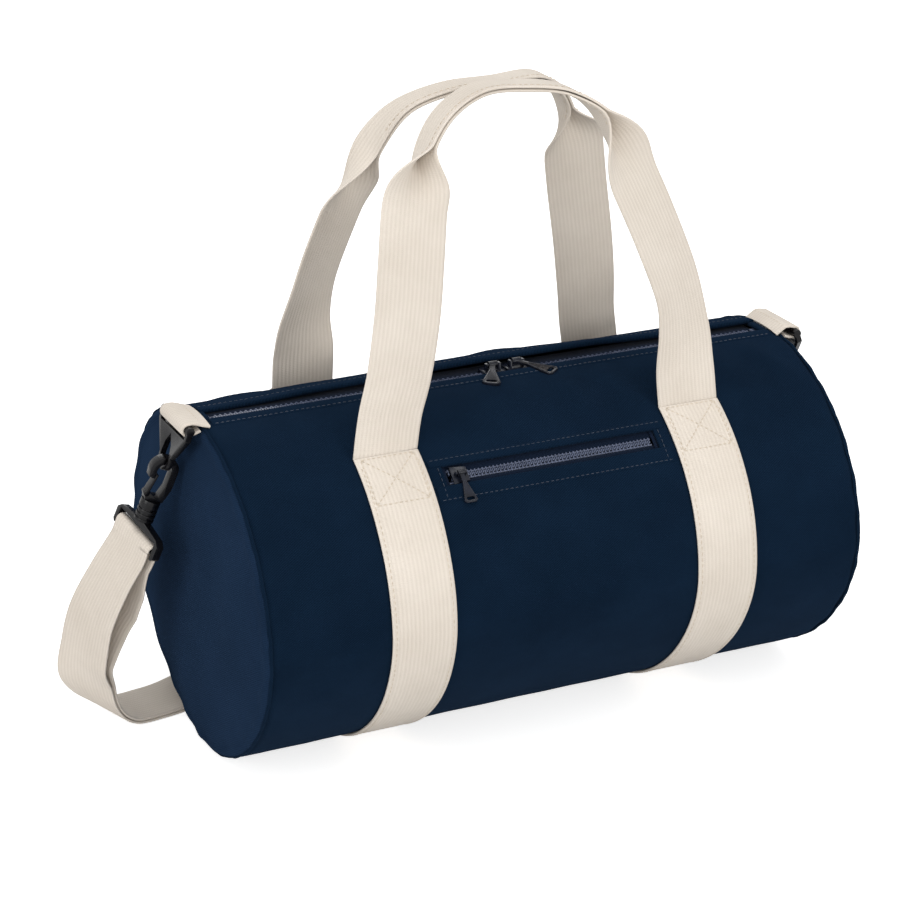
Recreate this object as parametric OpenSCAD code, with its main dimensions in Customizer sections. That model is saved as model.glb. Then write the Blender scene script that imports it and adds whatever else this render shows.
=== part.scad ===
// Barrel bag with two webbing handles, a zip pocket and a clip-on shoulder strap.
// Origin: centre of the base on the floor. X runs along the bag, the front faces -Y.

/* [Barrel] */
// Length between the two end seams
barrel_len = 364; // [300:2:440]
// Width of the barrel from front to rear
barrel_w = 222; // [200:2:250]
// Height of the barrel above the floor
barrel_h = 200; // [186:2:224]
// Thickness of the lined fabric
wall = 2; // [1.4:0.1:2.6]
// How far each end panel bulges past its seam
end_bulge = 10; // [6:1:12]

/* [Webbing] */
// Width of the handle and strap webbing
web_w = 38; // [30:1:38]
// Thickness of the webbing
web_t = 1.6; // [1.2:0.1:2]
// Distance between the centres of the two bands round the barrel
band_spacing = 188; // [180:2:210]
// Height of the handle grip above the seam at its foot
handle_rise = 184; // [150:2:230]

/* [Main zip] */
// Distance from each end of the main opening to the end seam
mouth_end = 6; // [6:1:50]
// Width of the gap between the fabric edges
mouth_w = 17; // [16.6:0.1:18]
// Spacing of the teeth along one tape
tooth_pitch = 3; // [2.8:0.05:3.2]
// Length of a slider
slider_len = 13; // [12:0.5:15]
// Length of a puller
pull_len = 25; // [20:1:30]

/* [Pocket] */
// Length of the pocket opening
pocket_len = 132; // [100:2:136]
// Depth of the pocket from front to back
pocket_depth = 12; // [9:0.5:16]

/* [Strap fittings] */
// Thickness of the moulded ring plate
ring_t = 3.2; // [2.6:0.1:3.4]
// Height of the ring below its bar
ring_drop = 29; // [27:0.5:33]
// Width of the hook body across its flat
hook_t = 5.5; // [4.5:0.1:5.6]
// Outer radius of the ribbed swivel collar
collar_r = 5.6; // [5.2:0.1:6.4]

/* [Hidden] */

navy = [0.07, 0.13, 0.27];
lining = [0.16, 0.2, 0.32];
cream = [0.93, 0.89, 0.82];
black = [0.08, 0.08, 0.09];

// Clearances: soft pieces, moulded pieces, pins in their bores, and the overrun of every cut
soft_gap = 0.3;
part_gap = 0.2;
pin_gap = 0.08;
overrun = 1;

// Cross-section of the barrel: an ellipse above its widest level, drawn in and flat on the floor below
half_len = barrel_len / 2;
half_w = barrel_w / 2;
widest_z = barrel_h * 0.49;
sag = barrel_h * 0.005;
sag_power = 1.75;
section_step = 5;
panel_step = 10;
base_wall = wall + web_t + soft_gap;

function above(t) = sin(t) >= 0;
function curl(v, power) = sign(v) * pow(abs(v), 2 / power);
function section_point(t, grow) = above(t)
    ? [(half_w + grow) * cos(t), widest_z + (barrel_h - widest_z + grow) * sin(t)]
    : [(half_w + grow) * curl(cos(t), sag_power),
       widest_z + (widest_z + sag + grow) * curl(sin(t), sag_power)];
function flat_half(grow, base) = (half_w + grow)
    * pow(1 - pow((widest_z - base) / (widest_z + sag + grow), sag_power), 1 / sag_power);
function section(grow, base, step = section_step) = concat(
    [[flat_half(grow, base), base]],
    [for (t = [-90 + step : step : 270 - step])
        let (p = section_point(t, grow)) if (p[1] > base + overrun / 4) p],
    [[-flat_half(grow, base), base]]);

// Barrel radius at the middle of the top, used for what lies just under the fabric
top_radius = half_w * half_w / (barrel_h - widest_z);
function top_drop(y) = y * y / (2 * top_radius);

// Bands: webbing sewn round the barrel, flush with the base
band_x = band_spacing / 2;
band_grow = soft_gap + web_t;
stitch_z = barrel_h * 0.925;
band_top_z = stitch_z - web_t * 0.45;
stitch_rise = (stitch_z - widest_z) / (barrel_h - widest_z + soft_gap + web_t / 2);
stitch_y = (half_w + soft_gap + web_t / 2) * sqrt(1 - stitch_rise * stitch_rise);

// Zip: sizes in the plane of the tape, measured from the middle of the chain
tape_t = 0.8;
tape_w = 13;
tooth_w = tooth_pitch * 0.43;
tooth_h = tooth_pitch * 0.87;
tooth_reach = tooth_pitch * 0.37;
bead_in = tooth_pitch * 0.53;
bead_out = tooth_pitch * 1.07;
bead_h = tooth_pitch * 0.6;
spread_max = tooth_pitch * 0.87;
spread_reach = slider_len * 0.77;
zip_depth = wall + top_drop(bead_out + tape_w) + soft_gap + tape_t / 2;
zip_z = barrel_h - zip_depth;
pair_x = 7;
pair_gap = 2;
slider_left_x = pair_x - (slider_len + pair_gap) / 2;
slider_right_x = pair_x + (slider_len + pair_gap) / 2;
stop_len = tooth_pitch * 1.3;
mouth_len = barrel_len - mouth_end * 2;
tape_half_len = mouth_len / 2 - soft_gap;
teeth_half_len = tape_half_len - stop_len - part_gap * 2;

// Slider: two plates joined by a wedge, edges turned in to hold the tapes, a bail on top
plate_t = 1.3;
flange_t = 1.1;
nose_half_w = bead_out + spread_max + part_gap + flange_t;
tail_half_w = nose_half_w * 0.8;
channel_half = tooth_h / 2 + part_gap;
wedge_len = slider_len * 0.24;
wedge_half_w = tooth_pitch * 0.33;
bail_r = 0.85;
bail_half = 4.6;
bail_leg = 1.5;
knuckle_r = 1.9;
bail_z = channel_half + plate_t + knuckle_r + part_gap * 7;
knuckle_half = bail_half - bail_leg - part_gap * 2;

// Puller: plate with a flared, slotted end, hung from the bail by its knuckle
pull_t = 1.4;
pull_root_w = knuckle_half * 1.3;
pull_end_w = 10.5;
pull_slot_w = 6.4;
pull_slot_h = 2.8;
pull_droop = 8;
left_pull_yaw = -27;
right_pull_yaw = 38;

// Pocket: a smaller zip in a frame that lies on the front of the barrel
pocket_share = 0.75;
pocket_turn = 133;
pocket_point = section_point(pocket_turn, 0);
pocket_tilt = atan2(cos(pocket_turn) / half_w, sin(pocket_turn) / (barrel_h - widest_z)) * -1;
pocket_gap_w = mouth_w * 0.8;
pocket_zip_depth = wall + tape_t + soft_gap * 2;
pocket_slider_x = -pocket_len / 2 + slider_len * pocket_share;
pocket_tape_half = pocket_len / 2 + web_t * 2;
pocket_lining_half = pocket_tape_half + web_t;
lining_t = 1;
lining_top_turn = 121;
lining_bottom_turn = 197;
pocket_tape_w = tape_w * 0.8;
pocket_pull_droop = 1;
pocket_stop_gap = slider_len * pocket_share * 0.6;

// Ring tabs and rings at the ends of the mouth
tab_w = web_w * 0.95;
ring_bar_r = 2.4;
tab_reach = 9;
ring_bar_x = half_len + tab_reach;
ring_bar_z = barrel_h - web_t / 2;
ring_tilt = 19;
ring_half_w = tab_w / 2 + ring_bar_r + part_gap * 5;
ring_slot_h = web_t + ring_bar_r * 1.6;
ring_tip_r = ring_drop * 0.28;
eye_r = hook_t / 2 + ring_bar_r * 1.4;
rim_h = ring_tip_r - eye_r + ring_bar_r * 0.2;

// Snap hook: measured in its own frame, with the ring's rim hanging in the bend
bend_in = ring_t / 2 + ring_bar_r;
bend_out = bend_in + ring_bar_r * 1.7;
rim_z = bend_in - rim_h / 2 - ring_bar_r * 0.75;
hook_lean = 21;
hook_back = 8;
base_turn = -12;
collar_top = -bend_out * 2.35;
collar_len = collar_r * 2.3;
collar_bottom = collar_top - collar_len;
post_r = collar_r * 0.46;
post_head_r = collar_r * 0.66;
post_head_h = collar_len * 0.22;
head_room = collar_len * 0.4;
base_half_w = web_w / 2 + ring_bar_r * 1.8;
base_t = ring_bar_r * 1.9;
base_top_h = ring_bar_r * 1.6;
strap_bar_r = ring_bar_r * 0.8;
strap_bar_z = collar_bottom - part_gap - base_top_h - web_t * 2.3 - strap_bar_r * 1.3;
gate_t = ring_bar_r * 0.85;
gate_pin_r = gate_t * 0.75;
nose_x = bend_in * 1.05;
gate_foot = [bend_out * 0.62, collar_top + gate_pin_r * 2.4];
gate_tip = [nose_x - part_gap - gate_t * 0.62, -bend_in * 0.8];

ring_centre = ring_drop - rim_h / 2;
hook_x = ring_bar_x + ring_centre * sin(ring_tilt) + rim_z * 0.3;
hook_z = ring_bar_z - ring_centre * cos(ring_tilt) - rim_z;

// Routes, chosen by hand as shares of half the barrel's length, half its width and its height
// (heights of the hanging strap are shares of the height of its bar)
front_route_shares = [
    [-0.516, -0.55, 0.925], [-0.49, -0.52, 1.03], [-0.456, -0.495, 1.14], [-0.428, -0.48, 1.3],
    [-0.405, -0.445, 1.45], [-0.372, -0.38, 1.6], [-0.318, -0.3, 1.72], [-0.22, -0.2, 1.81],
    [-0.09, -0.12, 1.855], [0.05, -0.1, 1.862], [0.18, -0.17, 1.825], [0.28, -0.265, 1.73],
    [0.365, -0.36, 1.58], [0.43, -0.41, 1.42], [0.487, -0.445, 1.26], [0.513, -0.48, 1.13],
    [0.516, -0.515, 1.02], [0.516, -0.55, 0.925]];
rear_route_shares = [
    [-0.516, 0.55, 0.925], [-0.515, 0.52, 1.03], [-0.51, 0.49, 1.14], [-0.47, 0.43, 1.3],
    [-0.41, 0.36, 1.48], [-0.345, 0.285, 1.64], [-0.25, 0.2, 1.77], [-0.12, 0.12, 1.84],
    [0.03, 0.09, 1.86], [0.17, 0.12, 1.835], [0.27, 0.2, 1.75], [0.34, 0.29, 1.61],
    [0.39, 0.35, 1.44], [0.43, 0.4, 1.28], [0.463, 0.45, 1.13], [0.49, 0.505, 1.02],
    [0.516, 0.55, 0.925]];
bight_shares = [
    [-1.225, 0.075, 0.826], [-1.285, 0.17, 0.684], [-1.318, 0.26, 0.533], [-1.318, 0.35, 0.376],
    [-1.28, 0.45, 0.203], [-1.215, 0.555, 0.09]];
// Room between the strap's two layers in thicknesses of webbing, at shares of the bar's height
slack_shares = [[0.1, 0], [0.2, 0.5], [0.38, 2], [0.54, 5.6], [0.69, 7.9], [0.82, 6.4], [0.93, 2.5]];
floor_shares = [[-1.12, 0.645], [-1.0, 0.665], [-0.8, 0.7], [-0.5, 0.76],
    [-0.36, 0.798], [-0.25, 0.82]];
adjuster_shares = [-0.11, 0.83];

// Sweeps: a band of webbing along a route, and a solid through a list of rings
function unit(v) = v / norm(v);
function catmull(a, b, c, d, u) = (2 * b + (c - a) * u + (2 * a - 5 * b + 4 * c - d) * u * u
    + (3 * b - a - 3 * c + d) * u * u * u) / 2;
function smooth_route(p, n) = let (last = len(p) - 1) concat(
    [for (i = [0 : last - 1], k = [0 : n - 1])
        catmull(p[max(i - 1, 0)], p[i], p[i + 1], p[min(i + 2, last)], k / n)],
    [p[last]]);
function along(p, i) = unit(p[min(i + 1, len(p) - 1)] - p[max(i - 1, 0)]);
function level(v, t) = unit(v - (v * t) * t);
function ring(c, across, out, w, t) = [
    c - across * w / 2 - out * t / 2, c + across * w / 2 - out * t / 2,
    c + across * w / 2 + out * t / 2, c - across * w / 2 + out * t / 2];

// (the faces of a twisted band are split the same way on both sides, also where it runs back)
module loft(rings, back_from = 0, back_to = 0) {
    n = len(rings[0]);
    m = len(rings);
    sides = [for (i = [0 : m - 2], j = [0 : n - 1])
        let (a = i * n + j, b = a + n, c = (i + 1) * n + (j + 1) % n, d = c - n,
             back = i >= back_from && i < back_to)
        each (j < n / 2) != back ? [[a, c, d], [a, b, c]] : [[a, b, d], [b, c, d]]];
    polyhedron(
        points = [for (r = rings) each r],
        faces = concat([[for (j = [0 : n - 1]) j]],
                       [[for (j = [n - 1 : -1 : 0]) (m - 1) * n + j]], sides));
}

module along_x(x0, x1) {
    translate([x0, 0, 0])
        rotate([90, 0, 90])
            linear_extrude(x1 - x0)
                children();
}

module along_y(width) {
    translate([0, width / 2, 0])
        rotate([90, 0, 0])
            linear_extrude(width)
                children();
}

module block(size) {
    translate([-size[0] / 2, -size[1] / 2, 0])
        cube(size);
}

// Barrel: fabric tube, open at the mouth, at the pocket and at both ends
module barrel_shell() {
    color(navy)
        difference() {
            along_x(-half_len, half_len) polygon(section(0, 0));
            along_x(-half_len - overrun, half_len + overrun) polygon(section(-wall, base_wall));
            translate([0, 0, widest_z]) block([mouth_len, mouth_w, barrel_h]);
            at_pocket() translate([0, 0, -wall * 3]) block([pocket_len, pocket_gap_w, wall * 6]);
            for (side = [-1, 1])
                translate([side * band_x, 0, -overrun])
                    block([web_w + soft_gap * 2, barrel_w, web_t + soft_gap + overrun]);
        }
}

// End panel: a thin dome on the outline of the barrel
dome_shares = [[0.12, 1], [0.35, 0.97], [0.55, 0.87], [0.72, 0.64], [0.86, 0.38], [0.95, 0.16], [1, 0]];
function dome_ring(share, x, grow, base) = [
    for (p = section(grow, base, panel_step))
        [x, p[0] * share, widest_z + (p[1] - widest_z) * share]];
module end_panel() {
    rim_x = half_len + part_gap;
    rings = concat(
        [for (s = dome_shares) dome_ring(s[0], rim_x + end_bulge * s[1], -wall, wall)],
        [for (i = [len(dome_shares) - 1 : -1 : 0])
            let (s = dome_shares[i]) dome_ring(s[0], rim_x + wall + end_bulge * s[1], 0, 0)]);
    color(navy) loft(rings);
}

// Binding tape that covers the raw seam inside the barrel
binding_w = 5.5;
module seam_binding() {
    color(lining)
        along_x(half_len - binding_w, half_len)
            difference() {
                polygon(section(-wall - soft_gap, base_wall + soft_gap));
                polygon(section(-wall - soft_gap - tape_t, base_wall + soft_gap + tape_t));
            }
}

// Webbing sewn round the barrel from one stitched box to the other
module band(side) {
    color(cream)
        difference() {
            along_x(side * band_x - web_w / 2, side * band_x + web_w / 2)
                difference() {
                    polygon(section(band_grow, 0));
                    polygon(section(soft_gap, web_t));
                }
            translate([side * band_x, 0, band_top_z]) block([web_w * 2, barrel_w, barrel_h]);
        }
}

// Handle: webbing folded in half along the grip, flat and turned to the front at its feet
fold_start_share = 0.27;
fold_end_share = 0.36;
foot_share = 0.5;
function ramp(u, a, b) = let (k = min(1, max(0, (u - a) / (b - a)))) k * k * (3 - 2 * k);
function folded(u) = ramp(min(u, 1 - u), fold_start_share, fold_end_share);
function foot(u) = foot_share + (1 - foot_share) * ramp(min(u, 1 - u), 0, 0.03);
module handle(shares, side) {
    scale_z = handle_rise / (barrel_h * 0.94);
    route = smooth_route([for (s = shares)
        [s[0] * band_x / 0.516, side * abs(s[1]) * stitch_y / 0.55,
         stitch_z + (s[2] - 0.925) * barrel_h * scale_z]], 3);
    last = len(route) - 1;
    rings = [for (i = [0 : last])
        let (
            u = i / last,
            t = i == 0 ? [0, 0, 1] : i == last ? [0, 0, -1] : along(route, i),
            flat_across = level([1, 0, 0], t),
            grip_across = level([0, side, 0], t),
            turn = folded(u),
            across = level(flat_across * (1 - turn) * sign(t[2] + 0.0001) + grip_across * turn, t),
            out = cross(across, t))
        ring(route[i], across, out, web_w * (1 - turn / 2), web_t * foot(u) * (1 + turn * 1.2))];
    color(cream) loft(rings);
}

// Zip tapes, teeth and slider, in the plane of the tape
function spread(x, x0) = abs(x - x0) > spread_reach ? 0
    : spread_max * (1 + cos(180 * (x - x0) / spread_reach)) / 2;
function edge_places(half, x0) = concat(
    [-half],
    [for (k = [-4 : 4]) let (x = x0 + k * spread_reach / 4) if (abs(x) < half - overrun / 4) x],
    [half]);
function tape_edge(half, y, x0) = [for (x = edge_places(half, x0)) [x, y + spread(x, x0)]];
module zip_tape(half, width, x0) {
    translate([0, 0, -tape_t / 2])
        linear_extrude(tape_t)
            polygon(concat(
                [[half, bead_out + width], [-half, bead_out + width]],
                tape_edge(half, bead_out + part_gap / 4, x0)));
}
module zip_teeth(half, x0, phase) {
    translate([0, 0, -bead_h / 2])
        linear_extrude(bead_h)
            polygon(concat(
                tape_edge(half, bead_in, x0),
                backward(tape_edge(half, bead_out, x0))));
    for (x = [-half + tooth_pitch * (0.5 + phase) : tooth_pitch : half - tooth_w])
        translate([x - tooth_w / 2, spread(x, x0) - tooth_reach, -tooth_h / 2])
            cube([tooth_w, bead_in + tooth_reach + bead_h / 2, tooth_h]);
}
module slider_plate() {
    polygon([[-slider_len / 2, -tail_half_w], [slider_len / 2, -nose_half_w],
             [slider_len / 2, nose_half_w], [-slider_len / 2, tail_half_w]]);
}
module slider_core() {
    polygon([[-slider_len, flange_t - tail_half_w], [slider_len, flange_t - nose_half_w],
             [slider_len, nose_half_w - flange_t], [-slider_len, tail_half_w - flange_t]]);
}
module slider() {
    edge = tape_t / 2 + part_gap;
    for (level_z = [-channel_half - plate_t, channel_half])
        translate([0, 0, level_z])
            linear_extrude(plate_t)
                slider_plate();
    for (level_z = [-channel_half, edge])
        translate([0, 0, level_z])
            linear_extrude(channel_half - edge)
                difference() {
                    slider_plate();
                    slider_core();
                }
    translate([0, 0, -channel_half])
        linear_extrude(channel_half * 2)
            polygon([[slider_len / 2, -wedge_half_w], [slider_len / 2, wedge_half_w],
                     [slider_len / 2 - wedge_len, wedge_half_w / 3],
                     [slider_len / 2 - wedge_len, -wedge_half_w / 3]]);
    for (side = [-1, 1])
        translate([side * (bail_half - bail_leg / 2), 0, channel_half + plate_t])
            block([bail_leg, bail_r * 3, bail_z + bail_r - channel_half - plate_t]);
    translate([-bail_half, 0, bail_z])
        rotate([0, 90, 0])
            cylinder(r = bail_r, h = bail_half * 2, $fn = 24);
}
module puller(yaw, droop) {
    translate([0, 0, bail_z])
        rotate([droop, 0, 0])
            difference() {
                union() {
                    rotate([0, 90, 0])
                        cylinder(r = knuckle_r, h = knuckle_half * 2, center = true, $fn = 32);
                    translate([0, 0, -pull_t / 2])
                        linear_extrude(pull_t)
                            rotate(yaw)
                                difference() {
                                    puller_outline();
                                    puller_slot();
                                }
                }
                rotate([0, 90, 0])
                    cylinder(r = bail_r + pin_gap, h = slider_len * 2, center = true, $fn = 32);
            }
}
module puller_outline() {
    corner = pull_end_w * 0.16;
    polygon([[-pull_root_w / 2, 0], [-pull_root_w * 0.42, -pull_len * 0.3],
             [-pull_end_w / 2, corner - pull_len], [corner - pull_end_w / 2, -pull_len],
             [pull_end_w / 2 - corner, -pull_len], [pull_end_w / 2, corner - pull_len],
             [pull_root_w * 0.42, -pull_len * 0.3], [pull_root_w / 2, 0]]);
}
module puller_slot() {
    translate([0, pull_slot_h * 1.1 - pull_len])
        for (side = [-1, 1])
            translate([side * (pull_slot_w - pull_slot_h) / 2, 0])
                circle(r = pull_slot_h / 2, $fn = 24);
    translate([-(pull_slot_w - pull_slot_h) / 2, pull_slot_h * 0.6 - pull_len])
        square([pull_slot_w - pull_slot_h, pull_slot_h]);
}
module zip_stops(half) {
    for (side = [-1, 1])
        translate([side * (half - stop_len / 2), 0, -tooth_h / 2])
            block([stop_len, bead_out * 2 - part_gap, tooth_h]);
}

module front_zip_tape() {
    color(navy) translate([0, 0, zip_z]) mirror([0, 1, 0]) zip_tape(tape_half_len, tape_w, pair_x);
}
module rear_zip_tape() {
    color(navy) translate([0, 0, zip_z]) zip_tape(tape_half_len, tape_w, pair_x);
}
module front_zip_teeth() {
    color(black) translate([0, 0, zip_z]) mirror([0, 1, 0]) zip_teeth(teeth_half_len, pair_x, 0);
}
module rear_zip_teeth() {
    color(black) translate([0, 0, zip_z]) zip_teeth(teeth_half_len, pair_x, 0.5);
}
module zip_end_stops() {
    color(black) translate([0, 0, zip_z]) zip_stops(tape_half_len);
}
module left_slider() {
    color(black) translate([slider_left_x, 0, zip_z]) slider();
}
module right_slider() {
    color(black) translate([slider_right_x, 0, zip_z]) mirror([1, 0, 0]) slider();
}
module left_slider_pull() {
    color(black) translate([slider_left_x, 0, zip_z]) puller(left_pull_yaw, pull_droop);
}
module right_slider_pull() {
    color(black) translate([slider_right_x, 0, zip_z]) puller(right_pull_yaw, pull_droop);
}

// Pocket: everything in the frame that lies on the front of the barrel
module at_pocket(depth = 0) {
    translate([0, pocket_point[0], pocket_point[1]])
        rotate([pocket_tilt, 0, 0])
            translate([0, 0, -depth])
                children();
}
module pocket_zip() {
    at_pocket(pocket_zip_depth) scale(pocket_share) children();
}
pocket_half = pocket_tape_half / pocket_share;
pocket_spread_x = pocket_slider_x / pocket_share - slider_len * 0.55;
pocket_teeth_half = (pocket_len / 2 - tooth_pitch) / pocket_share;
module pocket_upper_tape() {
    color(navy) pocket_zip() zip_tape(pocket_half, pocket_tape_w, pocket_spread_x);
}
module pocket_lower_tape() {
    color(navy) pocket_zip() mirror([0, 1, 0]) zip_tape(pocket_half, pocket_tape_w, pocket_spread_x);
}
module pocket_upper_teeth() {
    color(black) pocket_zip() zip_teeth(pocket_teeth_half, pocket_spread_x, 0);
}
module pocket_lower_teeth() {
    color(black) pocket_zip() mirror([0, 1, 0]) zip_teeth(pocket_teeth_half, pocket_spread_x, 0.5);
}
module pocket_slider() {
    color(black) pocket_zip() translate([pocket_slider_x / pocket_share, 0, 0]) mirror([1, 0, 0]) slider();
}
module pocket_pull() {
    color(black)
        pocket_zip()
            translate([pocket_slider_x / pocket_share, 0, 0])
                puller(0, pocket_pull_droop);
}
module pocket_end_tabs() {
    color(navy)
        for (side = [-1, 1])
            at_pocket(pocket_zip_depth - tape_t - soft_gap)
                translate([side * (pocket_len / 2 - tooth_pitch / 2 + part_gap), 0, 0])
                    block([tooth_pitch - part_gap * 4, pocket_gap_w - soft_gap * 2, tape_t]);
}
function arc_band(grow_out, grow_in, t0, t1) = concat(
    [for (k = [0 : 14]) section_point(t0 + (t1 - t0) * k / 14, grow_out)],
    [for (k = [14 : -1 : 0]) section_point(t0 + (t1 - t0) * k / 14, grow_in)]);
module pocket_lining() {
    front = -wall - soft_gap;
    edge_turn = 1;
    color(lining)
        difference() {
            along_x(-pocket_lining_half, pocket_lining_half)
                polygon(arc_band(front, front - pocket_depth, lining_top_turn, lining_bottom_turn));
            along_x(-pocket_lining_half + lining_t, pocket_lining_half - lining_t)
                polygon(arc_band(overrun, front - pocket_depth + lining_t,
                                 lining_top_turn + edge_turn, lining_bottom_turn - edge_turn));
        }
}

// Ring tab: short webbing loop sewn into the end seam, holding the bar of the ring
loop_in = ring_bar_r + pin_gap;
loop_out = loop_in + web_t;
module ring_tab() {
    leg_x = -tab_reach - wall;
    leg_z = barrel_h + soft_gap / 2 - ring_bar_z;
    color(cream)
        translate([ring_bar_x, 0, ring_bar_z])
            along_y(tab_w)
                difference() {
                    union() {
                        circle(r = loop_out, $fn = 48);
                        polygon([[leg_x, leg_z], [leg_x, loop_out], [0, loop_out], [0, leg_z],
                                 [-loop_out * 0.9, leg_z]]);
                    }
                    circle(r = loop_in, $fn = 48);
                }
}

// Moulded ring: bar for the tab, tapered plate, leaf-shaped eye
module ring_body() {
    tip_z = ring_tip_r - ring_drop;
    slot_half = tab_w / 2 + part_gap * 3;
    eye_z = -ring_drop + rim_h + eye_r;
    cheek = ring_half_w * 0.93;
    translate([0, ring_half_w, 0])
        rotate([90, 0, 0])
            cylinder(r = ring_bar_r, h = ring_half_w * 2, $fn = 40);
    translate([-ring_t / 2, 0, 0])
        rotate([90, 0, 90])
            linear_extrude(ring_t)
                difference() {
                    union() {
                        polygon([[-ring_half_w, ring_bar_r * 0.9], [ring_half_w, ring_bar_r * 0.9],
                                 [ring_half_w, -ring_slot_h], [cheek, -ring_slot_h * 1.35],
                                 [ring_tip_r * 0.94, tip_z], [-ring_tip_r * 0.94, tip_z],
                                 [-cheek, -ring_slot_h * 1.35], [-ring_half_w, -ring_slot_h]]);
                        translate([0, tip_z]) circle(r = ring_tip_r, $fn = 48);
                    }
                    translate([-slot_half, -ring_slot_h])
                        square([slot_half * 2, ring_slot_h + ring_bar_r + overrun]);
                    translate([0, eye_z]) circle(r = eye_r, $fn = 48);
                    polygon([[-eye_r, eye_z], [-eye_r * 0.75, eye_z + eye_r * 1.1],
                             [0, eye_z + eye_r * 2.1], [eye_r * 0.75, eye_z + eye_r * 1.1],
                             [eye_r, eye_z]]);
                }
}
module ring_part() {
    color(black)
        translate([ring_bar_x, 0, ring_bar_z])
            rotate([0, -ring_tilt, 0])
                ring_body();
}

// Fittings on the right are drawn hanging from the ring; the left ones are their mirror image
module at_hook() {
    translate([hook_x, 0, hook_z])
        rotate([0, -hook_lean, 0])
            rotate([hook_back, 0, 0])
                children();
}

// Hook: a bend over the ring's rim, a spine on the bag's side and a ribbed collar round the post
module hook_outline() {
    spine_in = -bend_in;
    difference() {
        union() {
            circle(r = bend_out, $fn = 64);
            polygon([[-bend_out, 0], [-bend_out, collar_top * 0.55], [-collar_r, collar_top],
                     [collar_r * 0.9, collar_top], [collar_r, collar_top * 0.86],
                     [0, collar_top * 0.62], [0, 0]]);
            polygon([[bend_in * 0.6, 0], [bend_out, 0], [bend_out * 0.92, collar_top * 0.26],
                     [nose_x, collar_top * 0.24], [nose_x, -bend_in * 0.3]]);
        }
        circle(r = bend_in, $fn = 48);
        polygon([[spine_in, 0], [spine_in, collar_top * 0.5], [spine_in * 0.55, collar_top * 0.84],
                 [collar_r * 0.15, collar_top * 0.84], [bend_out * 1.3, collar_top * 0.55],
                 [bend_out * 1.3, collar_top * 0.285], [nose_x, collar_top * 0.285],
                 [nose_x, -bend_in * 0.25], [bend_in, 0]]);
        translate(gate_foot) circle(r = gate_pin_r + pin_gap, $fn = 32);
    }
}
module hook_part() {
    rib = collar_len / 9;
    color(black)
        at_hook() {
            difference() {
                union() {
                    along_y(hook_t) hook_outline();
                    translate([0, 0, collar_bottom]) cylinder(r = collar_r, h = collar_len, $fn = 48);
                }
                translate([0, 0, collar_bottom - overrun])
                    cylinder(r = post_r + pin_gap, h = collar_len - head_room + overrun * 2, $fn = 48);
                translate([0, 0, collar_top - head_room])
                    cylinder(r = post_head_r + part_gap, h = post_head_h + part_gap * 4, $fn = 48);
                for (k = [1, 3, 5])
                    translate([0, 0, collar_bottom + rib * k])
                        difference() {
                            cylinder(r = collar_r + overrun, h = rib, $fn = 48);
                            cylinder(r = collar_r * 0.88, h = rib, $fn = 48);
                        }
            }
        }
}

// Gate: springy tongue from its foot in the hook to the notch behind the nose
module gate_part() {
    lean = unit(gate_tip - gate_foot);
    side = [lean[1], -lean[0]] * gate_t / 2;
    color(black)
        at_hook()
            along_y(hook_t - part_gap * 2) {
                translate(gate_foot) circle(r = gate_pin_r, $fn = 32);
                polygon([gate_foot + side, gate_tip + side * 0.7, gate_tip - side * 0.7,
                         gate_foot - side]);
            }
}

// Swivel base: post held in the collar, frame with the bar that the strap goes round
module strap_base() {
    shoulder = collar_bottom - part_gap;
    arm = strap_bar_r * 1.9;
    inner_half = web_w / 2 + part_gap * 5;
    color(black)
        at_hook() rotate([0, 0, base_turn]) {
            translate([0, 0, shoulder - overrun])
                cylinder(r = post_r, h = collar_len - head_room + part_gap + overrun * 2, $fn = 48);
            translate([0, 0, collar_top - head_room + part_gap * 2])
                cylinder(r = post_head_r, h = post_head_h, $fn = 48);
            translate([-base_t / 2, 0, 0])
                rotate([90, 0, 90])
                    linear_extrude(base_t)
                        difference() {
                            polygon([[-collar_r, shoulder], [collar_r, shoulder],
                                     [base_half_w * 0.86, shoulder - base_top_h * 0.5],
                                     [base_half_w, shoulder - base_top_h * 1.2],
                                     [base_half_w, strap_bar_z - arm * 0.6],
                                     [base_half_w * 0.94, strap_bar_z - arm],
                                     [-base_half_w * 0.94, strap_bar_z - arm],
                                     [-base_half_w, strap_bar_z - arm * 0.6],
                                     [-base_half_w, shoulder - base_top_h * 1.2],
                                     [-base_half_w * 0.86, shoulder - base_top_h * 0.5]]);
                            translate([-inner_half, strap_bar_z - arm * 2])
                                square([inner_half * 2, shoulder - base_top_h - strap_bar_z + arm * 2]);
                        }
            translate([0, inner_half + part_gap, strap_bar_z])
                rotate([90, 0, 0])
                    cylinder(r = strap_bar_r, h = (inner_half + part_gap) * 2, $fn = 32);
        }
}

// Shoulder strap: sewn round the adjuster, up to the left base, back down and on to the right base
lay_z = web_t / 2;
stack = web_t + soft_gap;
bar_turn_r = strap_bar_r + soft_gap + web_t / 2;
function tilt_out(p) = [p[0] * cos(hook_lean) - p[2] * sin(hook_lean), p[1],
                        p[0] * sin(hook_lean) + p[2] * cos(hook_lean)];
function tilt_back(p) = [p[0], p[1] * cos(hook_back) - p[2] * sin(hook_back),
                         p[1] * sin(hook_back) + p[2] * cos(hook_back)];
function from_hook(p) = [hook_x, 0, hook_z] + tilt_out(tilt_back(p));
function turned(p) = [p[0] * cos(base_turn) - p[1] * sin(base_turn),
                      p[0] * sin(base_turn) + p[1] * cos(base_turn), p[2]];
function bar_turn(a) = from_hook(turned([bar_turn_r * cos(a), 0, strap_bar_z + bar_turn_r * sin(a)]));
function beside_bar(side, depth_share) = from_hook(turned([bar_turn_r * side, 0,
    strap_bar_z - bar_turn_r * depth_share]));
bar_axis = tilt_out(tilt_back(turned([0, 1, 0])));
bar_height = from_hook([0, 0, strap_bar_z])[2];
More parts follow.
